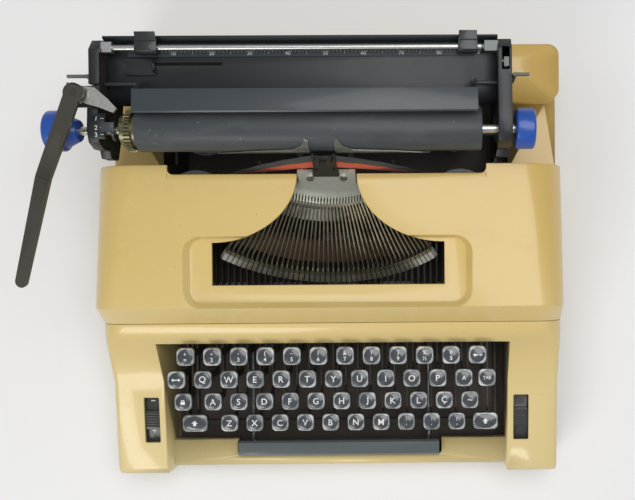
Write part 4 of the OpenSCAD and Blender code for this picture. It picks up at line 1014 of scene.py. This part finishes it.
for row, marks in enumerate(rowMarks):
    keys = [(keyX(row, i), rowY(row), rowZ(row), mark) for i, mark in enumerate(marks)]
    finish = keyLeverFinish(f"keyLever{row + 1}", (rowZ(row) - keyboard["capDepth"]) * 0.001)
    solo = soloKeys.get(row, {})
    keySet(f"keyRow{row + 1}", f"key_row_{row + 1}_body",
           [k for i, k in enumerate(keys) if i not in solo], keyboard["cap"])
    plain(f"key_row_{row + 1}", finish)
    for index, node in solo.items():
        keySet("key" + node[-1].upper(), node + "_body", [keys[index]], keyboard["cap"])
        plain(node, finish)
    for node, (x, outerRow, mark, size) in outerKeys.items():
        if outerRow == row:
            label = "".join(part.capitalize() for part in node.split("_"))
            keySet(label[0].lower() + label[1:], node + "_body",
                   [(x, rowY(row), rowZ(row), mark)], keyboard[size])
            plain(node, finish)
print("stage: keyboard")

# ---- the ribbon ----


def leaning(degrees):
    # a direction that leans back from upright
    angle = math.radians(degrees)
    return (0, math.sin(angle), math.cos(angle))


# Half of its run, from the middle to a spool: the strip's middle line in mm, the way that its
# width stands, and its width.
ribbonRun = [
    ((0, 229.22, 107.83), leaning(90 - basket["tilt"]), 12.8),
    ((9, 229.22, 107.83), leaning(90 - basket["tilt"]), 12.8),
    ((27, 228.3, 99.8), leaning(27), 12.4),
    ((46, 226.4, 91.0), leaning(20), 12.2),
    ((60, 224.8, 85.9), leaning(20 / 3), 11.6),
    ((74.5, 222.6, 80.9), (0, 0, 1), 10.8),
    ((86.0, 220.5, 80.9), (0, 0, 1), 10.8),
]
# The cloth's unevenness in mm: how hollow it is across, and how its ripples run.
sag = {"hollow": 0.25, "ripple": 0.12, "along": 0.35, "across": 2.2, "flatTo": 12.0}


def between(values, share):
    # a smooth curve through four values, from the second to the third
    a, b, c, d = (Vector(v) for v in values)
    return 0.5 * (2 * b + (c - a) * share + (2 * a - 5 * b + 4 * c - d) * share ** 2
                  + (3 * b - a - 3 * c + d) * share ** 3)


def ribbonStations(steps=8):
    # from the left spool to the right one
    half = [(Vector(m), Vector(u), w) for m, u, w in ribbonRun]
    whole = [(Vector((-m.x, m.y, m.z)), u, w) for m, u, w in reversed(half[1:])] + half
    out = []
    for k in range(len(whole) - 1):
        four = [whole[min(max(k + d, 0), len(whole) - 1)] for d in (-1, 0, 1, 2)]
        for j in range(steps):
            share = j / steps
            middle = between([f[0] for f in four], share)
            up = whole[k][1].lerp(whole[k + 1][1], share).normalized()
            out.append((middle, up, whole[k][2] * (1 - share) + whole[k + 1][2] * share))
    out.append(whole[-1])
    return out


def ribbonMesh(name, across=6):
    # a strip of faces with its own map, one unit across and one unit for each width along
    stations = ribbonStations()
    fullWidth = ribbonRun[0][2]
    verts, marks, run, last = [], [], 0.0, None
    for middle, up, width in stations:
        run += (middle - last).length if last is not None else 0.0
        last = middle
        off = Vector((1, 0, 0)).cross(up).normalized()
        loose = min(1.0, abs(middle.x) / sag["flatTo"])
        for k in range(across + 1):
            share = k / across
            ripple = math.sin(run * sag["along"] + share * sag["across"])
            out = sag["hollow"] * math.sin(math.pi * share) + sag["ripple"] * ripple
            spot = middle + up * width * (share - 0.5) + off * out * loose
            verts.append(at(*spot))
            marks.append((run / fullWidth, share))
    faces = []
    for r in range(len(stations) - 1):
        for k in range(across):
            a = r * (across + 1) + k
            faces.append((a, a + across + 1, a + across + 2, a + 1))
    mesh = bpy.data.meshes.new(name)
    mesh.from_pydata([tuple(v) for v in verts], [], faces)
    chart = mesh.uv_layers.new(name="strip")
    for loop in mesh.loops:
        chart.data[loop.index].uv = marks[loop.vertex_index]
    return mesh, run


cloth, clothRun = ribbonMesh("ribbonStrip")
ribbonStrip = finished("ribbonStrip", cloth, finishes["ribbon"], "frame", ("ribbon",), 0)
for face in cloth.polygons:
    face.use_smooth = True
thick = ribbonStrip.modifiers.new("thickness", "SOLIDIFY")
thick.thickness, thick.offset = 0.00012, 0.0
clothRun * 0.001
print("stage: ribbon")

# ---- scale and marks ----

right = Vector((1, 0, 0))


def marksMesh(name, parts):
    # flat marks: each is a list of (x, y) points in mm, its faces, its middle and its upward way
    verts, faces = [], []
    for flat, polygons, middle, up in parts:
        start = len(verts)
        verts += [at(*(Vector(middle) + right * u + up * v)) for u, v in flat]
        faces += [tuple(start + k for k in polygon) for polygon in polygons]
    return upwardMesh(name, verts, faces)


def bar(width, height):
    x, y = width / 2, height / 2
    return [(-x, -y), (x, -y), (x, y), (-x, y)], [(0, 1, 2, 3)]


# The scale's digits and its long and short lines stand in front of the strip's ridge, and a row of
# ticks behind it.
scale = {"firstX": -125.0, "reach": 118, "pica": 2.54, "count": 98, "y": 302.7, "z": 112.3,
         "rise": 0.214, "lift": 0.12, "ridge": 304.6, "ridgeZ": 112.8, "rearRise": 0.62,
         "digits": 3.6, "digitY": 301.8, "lineTop": 303.9, "long": 2.6, "short": 1.7,
         "line": 0.32, "tick": (0.3, 1.4), "tickY": 306.4}


def scaleSpot(x, y):
    # the strip rises gently in front of its ridge and more steeply behind it
    if y > scale["ridge"]:
        return (x, y, scale["ridgeZ"] + (y - scale["ridge"]) * scale["rearRise"] + scale["lift"])
    return (x, y, scale["z"] + (y - scale["y"]) * scale["rise"] + scale["lift"])


def scaleParts():
    up = Vector((0, 1, scale["rise"])).normalized()
    rearUp = Vector((0, 1, scale["rearRise"])).normalized()
    parts = []
    for k in range(scale["count"]):
        x = scale["firstX"] + k * scale["pica"]
        if abs(x) > scale["reach"]:
            continue
        if k % 10 == 0:
            parts.append((*glyph(str(k), scale["digits"]), scaleSpot(x, scale["digitY"]), up))
        else:
            height = scale["long"] if k % 5 == 0 else scale["short"]
            middle = scaleSpot(x, scale["lineTop"] - height / 2)
            parts.append((*bar(scale["line"], height), middle, up))
        parts.append((*bar(*scale["tick"]), scaleSpot(x, scale["tickY"]), rearUp))
    return parts


# The line-space selector's numbers: where each lies on the left end cover and how that slopes.
selector = {"marks": (("1", (-145.7, 256.1, 127.4), 0.36), ("2", (-145.3, 250.1, 128.6), 0.02),
                      ("3", (-145.6, 245.7, 127.9), -0.3)),
            "digits": 4.2, "tick": (2.0, 0.4), "tickOut": 3.9, "lift": 0.12}


def selectorParts():
    parts = []
    for mark, middle, slant in selector["marks"]:
        normal = Vector((0, slant, math.sqrt(1 - slant ** 2)))
        up = normal.cross(right)
        lifted = Vector(middle) + normal * selector["lift"]
        parts.append((*glyph(mark, selector["digits"]), lifted, up))
        parts.append((*bar(*selector["tick"]), lifted + right * selector["tickOut"], up))
    return parts


# The left arm's slider: a point on its top, the slope of the arm there, and how far below lies the
# plate that carries its two signs.
slider = {"x": -139.2, "y": 42.0, "z": 46.203, "rise": 0.08931, "lift": -2.88,
          "minus": 14.1, "plus": -9.2, "length": 3.2, "line": 0.7, "over": 0.02}


def sliderParts():
    # a minus above the slider's grip and a plus below it, on its smooth plate
    up = Vector((0, math.cos(slider["rise"]), math.sin(slider["rise"])))
    normal = Vector((0, -math.sin(slider["rise"]), math.cos(slider["rise"])))
    middle = Vector((slider["x"], slider["y"], slider["z"])) + normal * slider["lift"]
    minus, plus = middle + up * slider["minus"], middle + up * slider["plus"]
    level, upright = bar(slider["length"], slider["line"]), bar(slider["line"], slider["length"])
    return [(*level, minus, up), (*level, plus, up), (*upright, plus + normal * slider["over"], up)]


for name, parts, finish, body, slotName in (
        ("scaleMarks", scaleParts(), "scaleMark", "carriage", "grey_enamel"),
        ("sliderMarks", sliderParts(), "sliderMark", "touch_slider_body", "black_plastic"),
        ("selectorMarks", selectorParts(), "scaleMark", "carriage", "grey_enamel")):
    finished(name, marksMesh(name, parts), finishes[finish], body, smooth=0)
print("stage: marks")

# ---- camera, lights and floor ----

view = {"place": (0.08912, 0.00999, 0.65632), "turn": (-0.016, -0.010, -0.007), "lens": 45.76,
        "shift": (-0.1873, 0.0181)}


def makeCamera():
    data = bpy.data.cameras.new("camera")
    data.sensor_width, data.lens = 36.0, view["lens"]
    data.shift_x, data.shift_y = view["shift"]
    data.clip_start, data.clip_end = 0.01, 20
    camera = bpy.data.objects.new("camera", data)
    bpy.context.scene.collection.objects.link(camera)
    x, y, z = view["turn"]
    turn = Matrix.Rotation(z, 4, "Z") @ Matrix.Rotation(y, 4, "Y") @ Matrix.Rotation(x, 4, "X")
    camera.matrix_world = Matrix.Translation(view["place"]) @ turn
    bpy.context.scene.camera = camera


# Soft lamps: where each stands, what it faces, its width and depth in metres, watts and colour.
lamps = {
    "overhead": ((0.35, 0.35, 1.5), (0, 0, 0.05), (1.2, 0.9), 12, (1, 1, 1)),
    "front": ((-0.5, -1.0, 0.9), (0, -0.05, 0.05), (0.7, 0.5), 6.2, (1.0, 0.97, 0.92)),
}
sky = {"colour": (0.93, 0.95, 1.0, 1), "strength": 0.42}
ground = {"half": 3.0, "dark": (0.84, 0.84, 0.83), "pale": (0.88, 0.88, 0.87)}


def makeLight(name, where, target, size, power, colour):
    data = bpy.data.lights.new(name, "AREA")
    data.energy, data.color = power, colour
    data.shape, data.size, data.size_y = "RECTANGLE", size[0], size[1]
    made = bpy.data.objects.new(name, data)
    bpy.context.scene.collection.objects.link(made)
    made.location = where
    made.rotation_euler = (Vector(target) - Vector(where)).to_track_quat("-Z", "Y").to_euler()


def makeStage():
    world = bpy.data.worlds.new("plainSky")
    bpy.context.scene.world = world
    world.use_nodes = True
    background = world.node_tree.nodes["Background"]
    background.inputs["Color"].default_value = sky["colour"]
    background.inputs["Strength"].default_value = sky["strength"]
    mesh = bpy.data.meshes.new("floor")
    half = ground["half"]
    mesh.from_pydata([(-half, -half, 0), (half, -half, 0), (half, half, 0), (-half, half, 0)], [],
                     [(0, 1, 2, 3)])
    floor = bpy.data.objects.new("floor", mesh)
    bpy.context.scene.collection.objects.link(floor)
    made = Finish("floorPaper", metallic=0.0)
    made.feed("Base Color", made.mix(made.noise(3, 3), ground["dark"], ground["pale"]))
    made.feed("Roughness", 0.75 + made.noise(200, 2) * 0.1)
    mesh.materials.append(made.material)
    for name, (where, target, size, power, colour) in lamps.items():
        makeLight(name, where, target, size, power, colour)


makeCamera()
makeStage()
bpy.context.scene.view_settings.view_transform = "Standard"
print("stage: camera and light")

print("stage: done")
